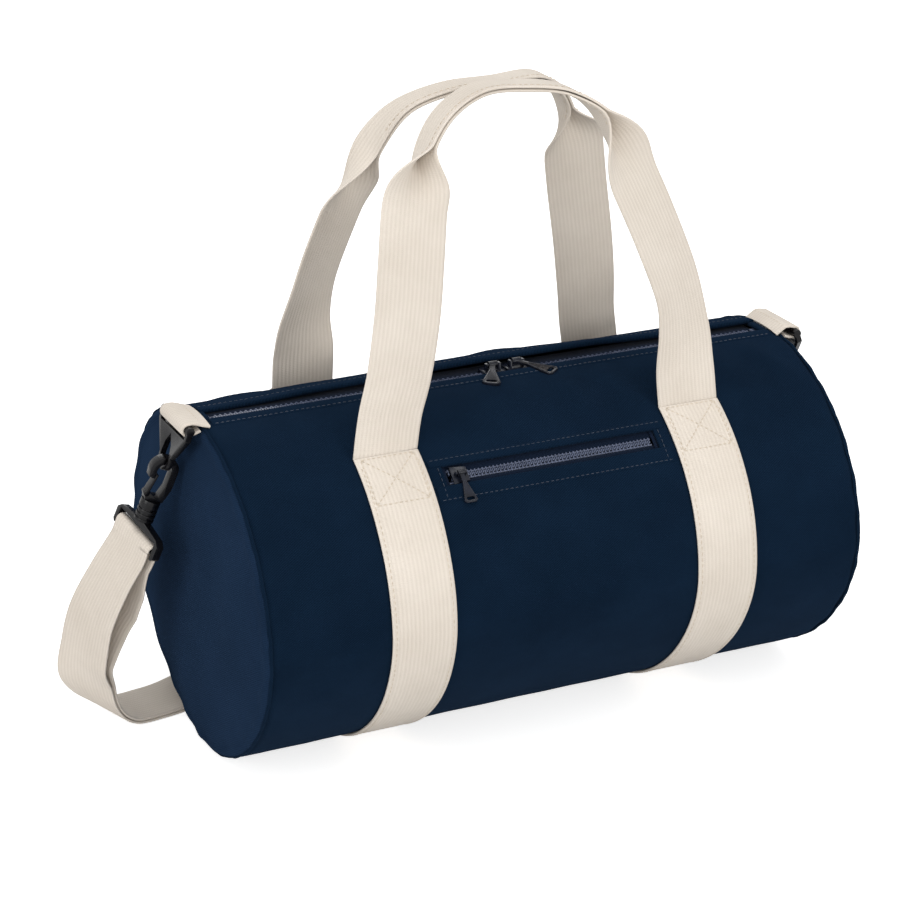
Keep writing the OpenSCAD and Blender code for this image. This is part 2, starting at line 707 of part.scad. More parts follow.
function strap_across(p, t) = let (
    k = ramp(p[2], bar_height * 0.5, bar_height * 0.93),
    axis = [bar_axis[0] * sign(p[0]), bar_axis[1], bar_axis[2]],
    hung = level([0, 1 - k, 0] + axis * k, t),
    flat = unit([-t[1], t[0], 0]),
    m = ramp(p[2], bar_height * 0.06, bar_height * 0.5))
    level(hung * m + flat * sign(flat * hung) * (1 - m), t);
function bight(shares) = [for (s = shares) [-s[0] * half_len, s[1] * half_w, s[2] * bar_height]];
function flip_x(points) = [for (p = points) [-p[0], p[1], p[2]]];
function backward(points) = [for (i = [len(points) - 1 : -1 : 0]) points[i]];
function on_floor(height) = [for (s = floor_shares)
    [-s[0] * half_len, s[1] * half_w, height]];
adjuster_x = adjuster_shares[0] * half_len;
adjuster_y = adjuster_shares[1] * half_w;
slot_run = web_t * 5.2;
bar_w = web_t * 1.7;
frame_t = web_t * 1.5;
frame_z = stack * 2 + soft_gap;
over_bar = frame_z + frame_t + soft_gap + web_t / 2;
function by_bar(x, z) = [adjuster_x + x, adjuster_y, z];
function place(p, t) = let (across = strap_across(p, t)) [p, across, cross(t, across)];
function places(route) = [for (i = [0 : len(route) - 1])
    place([route[i][0], route[i][1], max(route[i][2], lay_z)], along(route, i))];
function layer_gap(z) = stack + web_t * lookup(z / bar_height, slack_shares);
function returning(laid) = [for (q = backward(laid))
    [q[0] - q[2] * layer_gap(q[0][2]), q[1], -q[2]]];
module shoulder_strap() {
    up = concat(backward(on_floor(lay_z)), backward(bight(bight_shares)),
                [beside_bar(1, 3), beside_bar(1, 1)]);
    turn = [for (a = [0 : 30 : 180]) bar_turn(a)];
    sewn_end = [by_bar(bar_w / 2, over_bar), by_bar(-bar_w / 2, over_bar),
                by_bar(-bar_w / 2 - slot_run * 0.3, frame_z + frame_t / 2),
                by_bar(-bar_w / 2 - slot_run * 0.62, lay_z + stack * 0.6),
                by_bar(-bar_w * 1.5 - slot_run * 1.1, lay_z)];
    through = [by_bar(-bar_w * 1.5 - slot_run * 1.2, lay_z + stack),
               by_bar(-bar_w / 2 - slot_run * 0.9, lay_z + stack * 1.35),
               by_bar(-bar_w / 2 - slot_run * 0.5, frame_z + frame_t),
               by_bar(-bar_w / 2, over_bar + stack * 1.05), by_bar(bar_w / 2, over_bar + stack * 1.05),
               by_bar(bar_w / 2 + slot_run * 0.4, frame_z + frame_t / 2),
               by_bar(bar_w / 2 + slot_run * 0.8, lay_z + stack * 0.4),
               by_bar(bar_w * 1.5 + slot_run * 1.2, lay_z),
               by_bar(slot_run * 2.6, lay_z), by_bar(slot_run * 4.5, lay_z)];
    left_up = places(smooth_route(concat([sewn_end[4]], flip_x(up)), 3));
    out = concat(places(smooth_route(concat(sewn_end, [flip_x(up)[0]]), 3)),
                 [for (i = [4 : len(left_up) - 1]) left_up[i]], places(flip_x(turn)));
    home = returning([for (i = [3 : len(left_up) - 1]) left_up[i]]);
    on = places(smooth_route(concat(through, up, turn, [beside_bar(-1, 1)]), 3));
    color(cream)
        loft([for (q = concat(out, home, on)) ring(q[0], q[1], q[2], web_w, web_t)],
             len(out), len(out) + len(home) - 1);
}

// Adjuster: a frame with three bars that the strap is threaded through
module strap_adjuster() {
    outer = [bar_w * 3 + slot_run * 2, web_w + bar_w * 2];
    hole = [slot_run, web_w + part_gap * 6];
    color(black)
        translate([adjuster_x, adjuster_y, frame_z])
            linear_extrude(frame_t)
                difference() {
                    square(outer, center = true);
                    for (side = [-1, 1])
                        translate([side * (bar_w + slot_run) / 2, 0])
                            square(hole, center = true);
                }
}

module left() {
    mirror([1, 0, 0]) children();
}
module left_end_panel() { left() end_panel(); }
module right_end_panel() { end_panel(); }
module left_seam_binding() { left() seam_binding(); }
module right_seam_binding() { seam_binding(); }
module left_band() { band(-1); }
module right_band() { band(1); }
module front_handle() { handle(front_route_shares, -1); }
module rear_handle() { handle(rear_route_shares, 1); }
module left_ring_tab() { left() ring_tab(); }
module right_ring_tab() { ring_tab(); }
module left_ring() { left() ring_part(); }
module right_ring() { ring_part(); }
module left_strap_base() { left() strap_base(); }
module right_strap_base() { strap_base(); }
module left_hook() { left() hook_part(); }
module right_hook() { hook_part(); }
module left_gate() { left() gate_part(); }
module right_gate() { gate_part(); }

barrel_shell();
left_end_panel();
right_end_panel();
left_seam_binding();
right_seam_binding();
front_zip_tape();
rear_zip_tape();
front_zip_teeth();
rear_zip_teeth();
zip_end_stops();
left_slider();
right_slider();
left_slider_pull();
right_slider_pull();
pocket_lining();
pocket_upper_tape();
pocket_lower_tape();
pocket_upper_teeth();
pocket_lower_teeth();
pocket_slider();
pocket_pull();
pocket_end_tabs();
left_band();
right_band();
front_handle();
rear_handle();
left_ring_tab();
right_ring_tab();
left_ring();
right_ring();
left_strap_base();
right_strap_base();
left_hook();
right_hook();
left_gate();
right_gate();
shoulder_strap();
strap_adjuster();
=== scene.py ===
"""Barrel bag: the visual model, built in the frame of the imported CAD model."""
import bmesh
import bpy
import math
import numpy as np
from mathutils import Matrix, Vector, noise


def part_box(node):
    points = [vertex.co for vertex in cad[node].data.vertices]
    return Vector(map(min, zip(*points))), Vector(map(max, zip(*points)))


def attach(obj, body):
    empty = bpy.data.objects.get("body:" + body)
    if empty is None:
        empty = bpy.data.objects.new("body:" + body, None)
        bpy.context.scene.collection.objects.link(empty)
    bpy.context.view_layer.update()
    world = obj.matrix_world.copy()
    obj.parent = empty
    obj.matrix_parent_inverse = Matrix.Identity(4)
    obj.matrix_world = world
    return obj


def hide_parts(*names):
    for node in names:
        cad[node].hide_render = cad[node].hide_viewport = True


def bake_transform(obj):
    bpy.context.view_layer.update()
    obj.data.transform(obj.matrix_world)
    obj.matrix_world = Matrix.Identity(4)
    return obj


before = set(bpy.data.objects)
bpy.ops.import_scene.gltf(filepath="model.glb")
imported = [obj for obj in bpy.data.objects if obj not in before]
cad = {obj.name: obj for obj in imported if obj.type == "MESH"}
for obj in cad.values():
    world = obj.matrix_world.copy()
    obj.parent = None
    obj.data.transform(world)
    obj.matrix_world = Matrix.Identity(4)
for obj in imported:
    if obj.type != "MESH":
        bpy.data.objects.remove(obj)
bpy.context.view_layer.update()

MM = 0.001
SIDES = {-1: "left", 1: "right"}

# Sizes, in millimetres
HALF_LEN = 182.0
HALF_W = 111.0
BARREL_H = 200.0
WIDEST_Z = 98.0
SAG = 1.0
SAG_POWER = 1.75
WALL = 2.0
BULGE = 10.0
WEB_W = 38.0
WEB_T = 1.6
GAP = 0.3
BAND_X = 94.0
STITCH_Z = 185.0
MOUTH_LEN = 352.0
MOUTH_W = 17.0
POCKET_LEN = 132.0
POCKET_T = 133.0
PITCH = 3.0


def add(name, data):
    obj = bpy.data.objects.new(name, data)
    bpy.context.scene.collection.objects.link(obj)
    return obj


# Camera
def aim(obj, target):
    obj.rotation_mode = "QUATERNION"
    obj.rotation_quaternion = (Vector(target) - obj.location).to_track_quat("-Z", "Y")


camera = add("camera", bpy.data.cameras.new("camera"))
camera.location = (-0.6117, -1.2610, 0.7073)
camera.data.lens = 101.64
camera.data.sensor_width = 36
aim(camera, (-0.02107, 0, 0.14673))
bpy.context.scene.camera = camera


# Node helpers
def srgb(r, g, b):
    return tuple(
        c / 12.92 if c <= 0.04045 else ((c + 0.055) / 1.055) ** 2.4
        for c in (r / 255, g / 255, b / 255)
    ) + (1.0,)


def plug(tree, socket, value):
    """Links value to a socket where it comes from a node, and sets it where it is plain."""
    if isinstance(value, bpy.types.NodeSocket):
        tree.links.new(value, socket)
    else:
        socket.default_value = value


def put(tree, kind, inputs=None, **props):
    n = tree.nodes.new(kind)
    for key, value in props.items():
        setattr(n, key, value)
    for key, value in (inputs or {}).items():
        plug(tree, n.inputs[key], value)
    return n


def calc(tree, operation, a, b=0.0, clamp=False):
    return put(tree, "ShaderNodeMath", {0: a, 1: b}, operation=operation, use_clamp=clamp).outputs[0]


def total(tree, first, *others):
    """The sum of pairs, each a value and its weight."""
    out = calc(tree, "MULTIPLY", *first)
    for value, weight in others:
        out = calc(tree, "ADD", out, calc(tree, "MULTIPLY", value, weight))
    return out


def start_material(name, **sockets):
    mat = bpy.data.materials.new(name)
    mat.use_nodes = True
    tree = mat.node_tree
    shader = tree.nodes["Principled BSDF"]
    for key, value in sockets.items():
        shader.inputs[key.replace("_", " ")].default_value = value
    return mat, tree, shader


def lay_parts(tree):
    """Cloth coordinates in millimetres, kept in the mesh: both together, along the piece, across it."""
    at = put(tree, "ShaderNodeAttribute", attribute_name="lay")
    parts = put(tree, "ShaderNodeSeparateXYZ", {0: at.outputs["Vector"]})
    return at.outputs["Vector"], parts.outputs[0], parts.outputs[1]


def place(tree):
    return put(tree, "ShaderNodeTexCoord").outputs["Object"]


def cloud(tree, vector, size, detail=2.0, rough=0.5):
    """Noise whose blobs are about size across, in the units of vector."""
    return put(
        tree, "ShaderNodeTexNoise",
        {"Vector": vector, "Scale": 1.0 / size, "Detail": detail, "Roughness": rough},
    ).outputs["Fac"]


def wave(tree, value, pitch):
    return calc(tree, "SINE", calc(tree, "MULTIPLY", value, math.tau / pitch))


def span(tree, value, low, high, to_low=0.0, to_high=1.0):
    return put(
        tree, "ShaderNodeMapRange",
        {"Value": value, "From Min": low, "From Max": high, "To Min": to_low, "To Max": to_high},
    ).outputs[0]


def two_tones(tree, fine, broad):
    """Adds a fine pattern and slow shade changes into one tone from 0 to 1."""
    return calc(tree, "ADD", span(tree, *fine), span(tree, *broad), True)


def finish_look(tree, shader, tone, light, dark, height, depth, strength):
    """Colours the surface by tone and raises it by height. depth is in metres."""
    mixed = put(tree, "ShaderNodeMix", {0: tone, 6: dark, 7: light}, data_type="RGBA")
    tree.links.new(mixed.outputs[2], shader.inputs["Base Color"])
    raised = put(tree, "ShaderNodeBump", {"Height": height, "Distance": depth, "Strength": strength})
    tree.links.new(raised.outputs[0], shader.inputs["Normal"])


# Materials. Pitches and blob sizes are millimetres of cloth, and metres on moulded parts
def twill(name, light, dark, pitch, sheen):
    """Woven twill: diagonal ribs, uneven threads, slow shade changes and a soft sheen."""
    mat, tree, shader = start_material(
        name, Roughness=0.95, Sheen_Weight=sheen, Sheen_Roughness=0.55,
        Specular_IOR_Level=0.0, Sheen_Tint=srgb(140, 175, 225),
    )
    lay, u, v = lay_parts(tree)
    ribs = wave(tree, total(tree, (u, 1.0), (v, 1.6), (cloud(tree, lay, 9.0), 0.5)), pitch * 1.89)
    picks = wave(tree, total(tree, (v, 1.0), (u, -0.15)), pitch * 0.8)
    height = total(tree, (ribs, 0.34), (picks, 0.14), (cloud(tree, lay, 0.45, 3.0, 0.7), 0.7))
    broad = cloud(tree, lay, 60.0, 3.0, 0.6)
    tone = two_tones(tree, (height, -0.15, 0.95, 0.12, 0.72), (broad, 0.3, 0.7, -0.14, 0.16))
    finish_look(tree, shader, tone, light, dark, height, 0.00016, 0.85)
    return mat


def webbing(name, light, dark):
    """Webbing: round cords along the strap, crossed by a fine weft, with painted shade darkening the valleys
    between them.
    """
    mat, tree, shader = start_material(
        name, Roughness=0.86, Sheen_Weight=0.12, Sheen_Roughness=0.5, Specular_IOR_Level=0.12,
    )
    lay, u, v = lay_parts(tree)
    cords = wave(tree, total(tree, (v, 1.0), (cloud(tree, lay, 14.0), 0.5)), 2.4)
    weft = wave(tree, total(tree, (u, 1.0), (cords, 0.12)), 1.15)
    cross = calc(tree, "MULTIPLY", weft, wave(tree, v, 1.2))
    fibre = cloud(tree, lay, 0.5, 3.0, 0.65)
    height = total(tree, (cords, 0.30), (weft, 0.16), (cross, 0.14), (fibre, 0.55))
    broad = cloud(tree, lay, 45.0, 3.0, 0.6)
    # painted shade: the colour darkens where the weave is low and lightens on the crests; the broad noise
    # adds uneven colour to the yarn
    tone = two_tones(tree, (height, -0.3, 0.9, 0.4, 0.85), (broad, 0.3, 0.7, -0.12, 0.15))
    finish_look(tree, shader, tone, light, dark, height, 0.00022, 0.8)
    return mat


def moulded(name, light, dark, roughness, grain):
    """Moulded or painted hardware: fine grain, faint flow marks and a paler tone where edges rub."""
    mat, tree, shader = start_material(name, Specular_IOR_Level=0.28)
    at = place(tree)
    flow = cloud(tree, at, 0.006, 3.0, 0.55)
    edge = put(tree, "ShaderNodeNewGeometry").outputs["Pointiness"]
    tone = two_tones(tree, (flow, 0.3, 0.7, 0.0, 0.5), (edge, 0.52, 0.60, 0.0, 0.55))
    uneven = span(tree, flow, 0.25, 0.75, roughness * 0.8, roughness * 1.25)
    tree.links.new(uneven, shader.inputs["Roughness"])
    height = total(tree, (cloud(tree, at, 0.00035, 3.0, 0.6), 1.0), (flow, 2.0))
    finish_look(tree, shader, tone, light, dark, height, 0.00003, grain)
    return mat


def thread_material(name, light, dark):
    """Sewing thread: twisted strands with a dull shine."""
    mat, tree, shader = start_material(name, Roughness=0.6, Sheen_Weight=0.2, Specular_IOR_Level=0.35)
    u, v = lay_parts(tree)[1:]
    twist = wave(tree, calc(tree, "ADD", u, v), 0.5)
    fibre = cloud(tree, place(tree), 0.0012)
    tone = two_tones(tree, (twist, -1.0, 1.0, 0.2, 0.7), (fibre, 0.3, 0.7, -0.2, 0.25))
    finish_look(tree, shader, tone, light, dark, twist, 0.00006, 0.6)
    return mat


def tape_material(name, light, dark):
    """Woven zip tape: a herringbone of fine ribs."""
    mat, tree, shader = start_material(name, Roughness=0.9, Sheen_Weight=0.04, Specular_IOR_Level=0.05)
    lay, u, v = lay_parts(tree)
    ribs = wave(tree, calc(tree, "ADD", u, calc(tree, "PINGPONG", v, 4.0)), 1.0)
    height = total(tree, (ribs, 0.4), (cloud(tree, lay, 0.5, 3.0, 0.65), 0.6))
    tone = span(tree, height, -0.2, 0.9, 0.0, 0.9)
    finish_look(tree, shader, tone, light, dark, height, 0.00014, 0.8)
    return mat


NAVY = twill("navy_twill", srgb(19, 37, 57), srgb(7, 18, 31), 1.05, 0.05)
# a lighter copy of the navy for the end panels: painted sheen, the brightness the ends get from light at a
# grazing angle
NAVY_END_PAINTED_SHEEN = twill("navy_twill_end_painted_sheen", srgb(32, 50, 75), srgb(15, 29, 46), 1.05, 0.05)
LINING = twill("lining_cloth", srgb(42, 60, 88), srgb(20, 33, 54), 0.8, 0.1)
CREAM = webbing("cream_webbing_weave", srgb(222, 213, 202), srgb(187, 176, 162))
TAPE = tape_material("zip_tape_weave", srgb(22, 36, 58), srgb(8, 15, 28))
TEETH = moulded("moulded_teeth", srgb(86, 94, 116), srgb(34, 42, 60), 0.3, 0.2)
METAL = moulded("painted_metal_enamel", srgb(24, 28, 40), srgb(7, 9, 15), 0.26, 0.2)
BLACK = moulded("black_plastic_moulding", srgb(22, 22, 25), srgb(5, 5, 7), 0.24, 0.3)
CREAM_THREAD = thread_material("cream_thread", srgb(226, 214, 196), srgb(176, 160, 138))
NAVY_THREAD = thread_material("navy_thread", srgb(28, 46, 70), srgb(11, 22, 38))


# Mesh helpers
def ease(v, low, high):
    k = np.clip((np.asarray(v, float) - low) / (high - low), 0, 1)
    return k * k * (3 - 2 * k)


def hill(v, wide):
    """A smooth hill of height 1 at zero, down to a third of it at wide."""
    return np.exp(-((v / wide) ** 2))


def unit(v):
    v = np.asarray(v, float)
    return v / np.maximum(np.linalg.norm(v, axis=-1, keepdims=True), 1e-12)


def columns(*parts):
    """Puts numbers and arrays side by side as the columns of one array."""
    return np.stack(np.broadcast_arrays(*(np.asarray(p, float) for p in parts)), -1)


def rotated(a, b, angle):
    """Turns the pair a, b by an angle in radians."""
    c, s = np.cos(angle), np.sin(angle)
    return a * c - b * s, a * s + b * c


def around(count):
    return np.arange(count) * math.tau / count


def cloudiness(points, size, seed=0.0):
    """Smooth noise from -1 to 1 at each point; size is the width of a blob."""
    shift = Vector((seed * 7.31, seed * 3.17, seed * 5.73))
    return np.array([noise.noise(Vector(p) / size + shift) for p in np.asarray(points, float).reshape(-1, 3)])


def piece(name, mesh, body):
    """A visible piece on its body, or on none where no body is given."""
    obj = add(name, mesh)
    if body:
        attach(obj, body)
    return obj


def soft_mesh(name, points, faces, lay, mat, body="root", smooth=True):
    """A mesh from points in millimetres, with its cloth coordinates."""
    points, lay = np.reshape(points, (-1, 3)) * MM, np.reshape(lay, (-1, np.shape(lay)[-1]))
    mesh = bpy.data.meshes.new(name)
    mesh.from_pydata([tuple(p) for p in points], [], [tuple(f) for f in faces])
    held = mesh.attributes.new("lay", "FLOAT_VECTOR", "POINT")
    flat = np.zeros((len(points), 3), np.float32)
    flat[:, : lay.shape[1]] = lay
    held.data.foreach_set("vector", flat.ravel())
    mesh.materials.append(mat)
    mesh.polygons.foreach_set("use_smooth", [smooth] * len(mesh.polygons))
    return piece(name, mesh, body)


def tidy_normals(obj):
    work = bmesh.new()
    work.from_mesh(obj.data)
    bmesh.ops.recalc_face_normals(work, faces=work.faces)
    work.to_mesh(obj.data)
    work.free()


def thicken(obj, thickness, offset):
    solid = obj.modifiers.new("thickness", "SOLIDIFY")
    solid.thickness, solid.offset = thickness * MM, offset


def grid_faces(rows, cols, skip=None, wrap=False, closed=False):
    """Quads of a grid of points. wrap joins its last column to the first, closed its last row too."""
    out = []
    for i in range(rows if closed else rows - 1):
        for j in range(cols if wrap else cols - 1):
            if skip is not None and skip(i, j):
                continue
            k, below = (j + 1) % cols, (i + 1) % rows
            out.append((i * cols + j, i * cols + k, below * cols + k, below * cols + j))
    return out


def tube_faces(rows, cols):
    """Faces of a tube of rings with a cap at each end."""
    caps = [list(range(cols - 1, -1, -1)), list(range((rows - 1) * cols, rows * cols))]
    return grid_faces(rows, cols, wrap=True) + caps


def sheet_mesh(name, grid, lay, mat, thickness, skip=None, offset=-1.0, flip=False):
    """A sheet of cloth through a grid of points, without the faces that skip names."""
    faces = grid_faces(*grid.shape[:2], skip)
    if flip:
        faces = [f[::-1] for f in faces]
    used = sorted({v for f in faces for v in f})
    index = {v: i for i, v in enumerate(used)}
    faces = [[index[v] for v in f] for f in faces]
    obj = soft_mesh(name, grid.reshape(-1, 3)[used], faces, lay.reshape(-1, 2)[used], mat)
    thicken(obj, thickness, offset)
    return obj


def sweep(name, rings, lay, mat, body="root"):
    """A closed skin through rings of points; rings is (n, m, 3), lay is (n, m, 2)."""
    rings = np.asarray(rings, float)
    obj = soft_mesh(name, rings, tube_faces(*rings.shape[:2]), lay, mat, body)
    tidy_normals(obj)
    rim = set()
    for face in obj.data.polygons[-2:]:
        face.use_smooth = False
        rim.update(face.edge_keys)
    for edge in obj.data.edges:
        edge.use_edge_sharp = edge.key in rim
    return obj


def spline(points, n):
    """A smooth line through points, with n steps from each to the next."""
    p = np.asarray(points, float)
    out = []
    last = len(p) - 1
    for i in range(last):
        a, b, c, d = p[max(i - 1, 0)], p[i], p[i + 1], p[min(i + 2, last)]
        square, cube = 2 * a - 5 * b + 4 * c - d, 3 * b - a - 3 * c + d
        for u in np.arange(n) / n:
            out.append((2 * b + (c - a) * u + square * u * u + cube * u ** 3) / 2)
    out.append(p[last])
    return np.array(out)


def tangents(p):
    t = np.empty_like(p)
    t[1:-1] = p[2:] - p[:-2]
    t[0], t[-1] = p[1] - p[0], p[-1] - p[-2]
    return unit(t)


def run_length(p):
    return np.concatenate([[0], np.cumsum(np.linalg.norm(np.diff(p, axis=0), axis=1))])


def picked(spots, run, values):
    """The values, one row a point, at given lengths along a line."""
    return columns(*(np.interp(spots, run, values[:, k]) for k in range(values.shape[1])))


def across_of(wish, t):
    """The direction nearest to wish that is square to t."""
    wish = np.asarray(wish, float)
    return unit(wish - (wish * t).sum(-1, keepdims=True) * t)


# Stitches. Each ring of one stitch: its place along the stitch, its size and its height
STITCH_SIDES = 6
STITCH_RINGS = (
    (-0.5, 0.15, -0.9), (-0.42, 0.7, -0.35), (-0.2, 1.0, 0.1),
    (0.2, 1.0, 0.1), (0.42, 0.7, -0.35), (0.5, 0.15, -0.9),
)
# Kinds of stitch: pitch, length, radius of the thread, and how far it stands off the cloth
BAND_STITCH = (3.4, 2.6, 0.24, 0.02)
BOX_STITCH = (2.9, 2.3, 0.26, 0.04)
GRIP_STITCH = (3.4, 2.7, 0.25, 0.03)
TAB_STITCH = (2.9, 2.2, 0.26, 0.03)
HEM_STITCH = (3.1, 2.3, 0.24, 0.02)
MOUTH_STITCH = (3.0, 2.2, 0.24, 0.12)
POCKET_STITCH = (2.9, 2.2, 0.24, 0.12)
threads = {}


def sew(group, line, normals, kind):
    """Stitches along a line that lies on the cloth. Each sinks at its ends."""
    pitch, length, radius, lift = kind
    run = run_length(line)
    count = int(run[-1] / pitch)
    if count < 1:
        return
    store = threads.setdefault(group, {"points": [], "faces": [], "lay": [], "count": 0})
    spots = (np.arange(count) + 0.5) * (run[-1] / count)
    centre = picked(spots, run, line)
    ahead = picked(np.minimum(spots + pitch / 2, run[-1]), run, line)
    behind = picked(np.maximum(spots - pitch / 2, 0), run, line)
    t = unit(ahead - behind)
    up = across_of(unit(picked(spots, run, normals)), t)
    side = np.cross(t, up)
    turn = around(STITCH_SIDES)
    circle = side[:, None] * np.cos(turn)[:, None] + up[:, None] * np.sin(turn)[:, None]
    rings, lays = [], []
    for s, size, high in STITCH_RINGS:
        middle = centre + t * (s * length) + up * (lift + high * radius * 1.2)
        rings.append(middle[:, None] + circle * radius * size)
        lays.append(columns((spots + s * length)[:, None], turn / math.tau * 2))
    one = tube_faces(len(STITCH_RINGS), STITCH_SIDES)
    per = len(STITCH_RINGS) * STITCH_SIDES
    for base in store["count"] + per * np.arange(count):
        store["faces"] += [[int(base) + v for v in f] for f in one]
    store["points"].append(np.stack(rings, 1).reshape(-1, 3))
    store["lay"].append(np.stack(lays, 1).reshape(-1, 2))
    store["count"] += count * per


def make_threads(group, name, mat, body):
    store = threads.pop(group)
    points, lay = np.concatenate(store["points"]), np.concatenate(store["lay"])
    tidy_normals(soft_mesh(name, points, store["faces"], lay, mat, body))


# The barrel's surface. An angle t is 90 at the top, 180 at the front and 270 on the floor
def section(t, grow):
    """Cross-section of the barrel at angle t in degrees, grown outwards."""
    t = np.radians(np.asarray(t, float))
    c, s = np.cos(t), np.sin(t)
    low = s < 0
    soft_c, soft_s = (np.abs(v) ** (2 / SAG_POWER) for v in (c, s))
    y = (HALF_W + grow) * np.where(low, np.sign(c) * soft_c, c)
    z = WIDEST_Z + np.where(low, -(WIDEST_Z + SAG + grow) * soft_s, (BARREL_H - WIDEST_Z + grow) * s)
    return y, z


def at_surface(x, t, grow, floor=0.0):
    y, z = section(t, np.asarray(grow, float))
    return columns(x, y, np.maximum(z, floor))


def normal_at(t):
    below = -50.0
    return unit(at_surface(0, t, 1.0, below) - at_surface(0, t, 0.0, below))


MOUTH_TURN = math.degrees(math.asin(MOUTH_W / 2 / HALF_W))
FRONT_EDGE, REAR_EDGE = 90 + MOUTH_TURN, 450 - MOUTH_TURN
POCKET_HIGH, POCKET_LOW = 129.35, 136.65
RADIUS = 106.0


def arc(degrees):
    """Length round the barrel, near enough for cloth coordinates and distances to seams."""
    return np.radians(degrees) * RADIUS


def turn_of(length):
    return np.degrees(length / RADIUS)


# Soft folds in the cloth: x and angle of both ends, height, half width in millimetres
FOLDS = [
    (-14, 99, -44, 118, 1.3, 7.0), (6, 99, -12, 122, 1.1, 6.0), (24, 98, 36, 121, 1.0, 7.0),
    (-40, 99, -58, 112, 1.0, 6.0), (56, 100, 64, 120, 0.9, 7.0), (-58, 142, -28, 168, 1.0, 9.0),
    (-66, 150, -60, 195, 0.9, 9.0), (20, 150, 34, 196, 0.9, 12.0), (60, 146, 52, 182, 0.9, 9.0),
    (-128, 98, -140, 126, 1.1, 8.0), (-150, 100, -172, 118, 1.3, 7.0), (150, 99, 170, 120, 1.3, 7.0),
    (128, 99, 134, 126, 1.0, 8.0), (-124, 178, -150, 205, 1.0, 10.0), (124, 176, 148, 204, 1.0, 10.0),
    (-20, 400, -50, 418, 1.1, 8.0), (30, 440, 10, 416, 1.1, 7.0), (50, 395, 40, 360, 1.0, 12.0),
    (-130, 436, -150, 410, 1.2, 8.0), (140, 438, 160, 414, 1.2, 8.0), (-60, 350, -40, 385, 1.0, 12.0),
]


def relief(x, t):
    """How far the cloth stands out of the plain section, in millimetres."""
    x, t = np.broadcast_arrays(np.asarray(x, float), np.asarray(t, float))
    shape = x.shape
    x, t = x.ravel(), t.ravel()
    p = columns(x, arc(t), 0)
    h = 0.9 * cloudiness(p, 85.0, 1.0) + 0.35 * cloudiness(p * [1.3, 0.7, 1], 26.0, 2.0)
    for x0, t0, x1, t1, high, wide in FOLDS:
        a, b = np.array([x0, arc(t0)]), np.array([x1, arc(t1)])
        d = b - a
        k = np.clip(((p[:, :2] - a) @ d) / (d @ d), -0.2, 1.2)
        off = np.linalg.norm(p[:, :2] - a - k[:, None] * d, axis=1)
        h += high * hill(off, wide) * (1 - ease(np.abs(k - 0.5), 0.25, 0.7))
    # the cloth is held down beside the bands, but not near the top, where the webbing has left it
    off_band, selvedge = np.abs(np.abs(x) - BAND_X), WEB_W / 2
    near_top = np.minimum(np.abs(t - 90), np.abs(t - 450)) < 32
    pressed = h * ease(off_band, selvedge - 2, selvedge + 9)
    pressed -= 0.35 * (1 - ease(off_band, selvedge - 1, selvedge + 5))
    h = np.where(near_top, h, pressed)
    # it puckers and turns in at the end seams
    near_end = ease(np.abs(x), HALF_LEN - 16, HALF_LEN - 2)
    ripple = 0.35 * np.sin(arc(t) / 4.4 + 1.5 * np.sin(arc(t) / 23.0))
    h = h * (1 - 0.8 * near_end) + near_end * ripple - 1.3 * ease(np.abs(x), HALF_LEN - 4.5, HALF_LEN)
    # it lies flat on the floor, along the mouth and beside the pocket
    h = h * ease(np.abs(t - 270), 8, 48)
    to_front, to_rear = arc(t - FRONT_EDGE), arc(REAR_EDGE - t)
    h *= 0.3 + 0.7 * ease(np.minimum(to_front, to_rear), 3, 16)
    beside_pocket = (np.abs(x) < 72) & (t > 120) & (t < 150)
    to_pocket = np.minimum(np.abs(arc(t - POCKET_HIGH)), np.abs(arc(t - POCKET_LOW)))
    h = np.where(beside_pocket, h * (0.35 + 0.65 * ease(to_pocket, 2, 12)), h)
    # an even lift keeps the rear edge above the chain and swells behind the sliders
    behind_mouth = 1 - ease(to_rear, 25, 75)
    h += 1.8 * (hill(x - 5, 62) - ease(-x, 95, 150)) * behind_mouth
    h += (1.2 + 1.2 * hill(x - 66, 34) + 0.4 * hill(x + 30, 46)) * (1 - ease(to_rear, 2, 26))
    h += 0.25 * (1 - ease(to_front, 2, 16))
    return h.reshape(shape)


def cloth(x, t, extra=0.0):
    return at_surface(x, t, relief(x, t) + extra)


# Barrel cloth: a grid that is finer at the mouth and the pocket, with lines on every edge
def grid_line(*stretches, places):
    return np.unique(np.round(np.concatenate(stretches), places))


turned_in = np.array([1.5, 3.0, 4.5])
xs = grid_line(
    np.arange(-HALF_LEN, HALF_LEN + 0.1, 3.5), [-MOUTH_LEN / 2, MOUTH_LEN / 2],
    [-POCKET_LEN / 2, POCKET_LEN / 2], turned_in - HALF_LEN, HALF_LEN - turned_in, places=3,
)
ts = grid_line(
    np.arange(FRONT_EDGE, FRONT_EDGE + 6, 0.75), np.arange(FRONT_EDGE + 6, 126, 1.6),
    [POCKET_HIGH, POCKET_LOW], np.arange(126.5, 142, 0.9), np.arange(142, REAR_EDGE - 6, 1.8),
    np.arange(REAR_EDGE - 6, REAR_EDGE, 0.75), [REAR_EDGE], places=4,
)


def in_pocket(i, j):
    near = 0.01
    return (
        POCKET_HIGH - near <= ts[i] and ts[i + 1] <= POCKET_LOW + near
        and -POCKET_LEN / 2 - near <= xs[j] and xs[j + 1] <= POCKET_LEN / 2 + near
    )


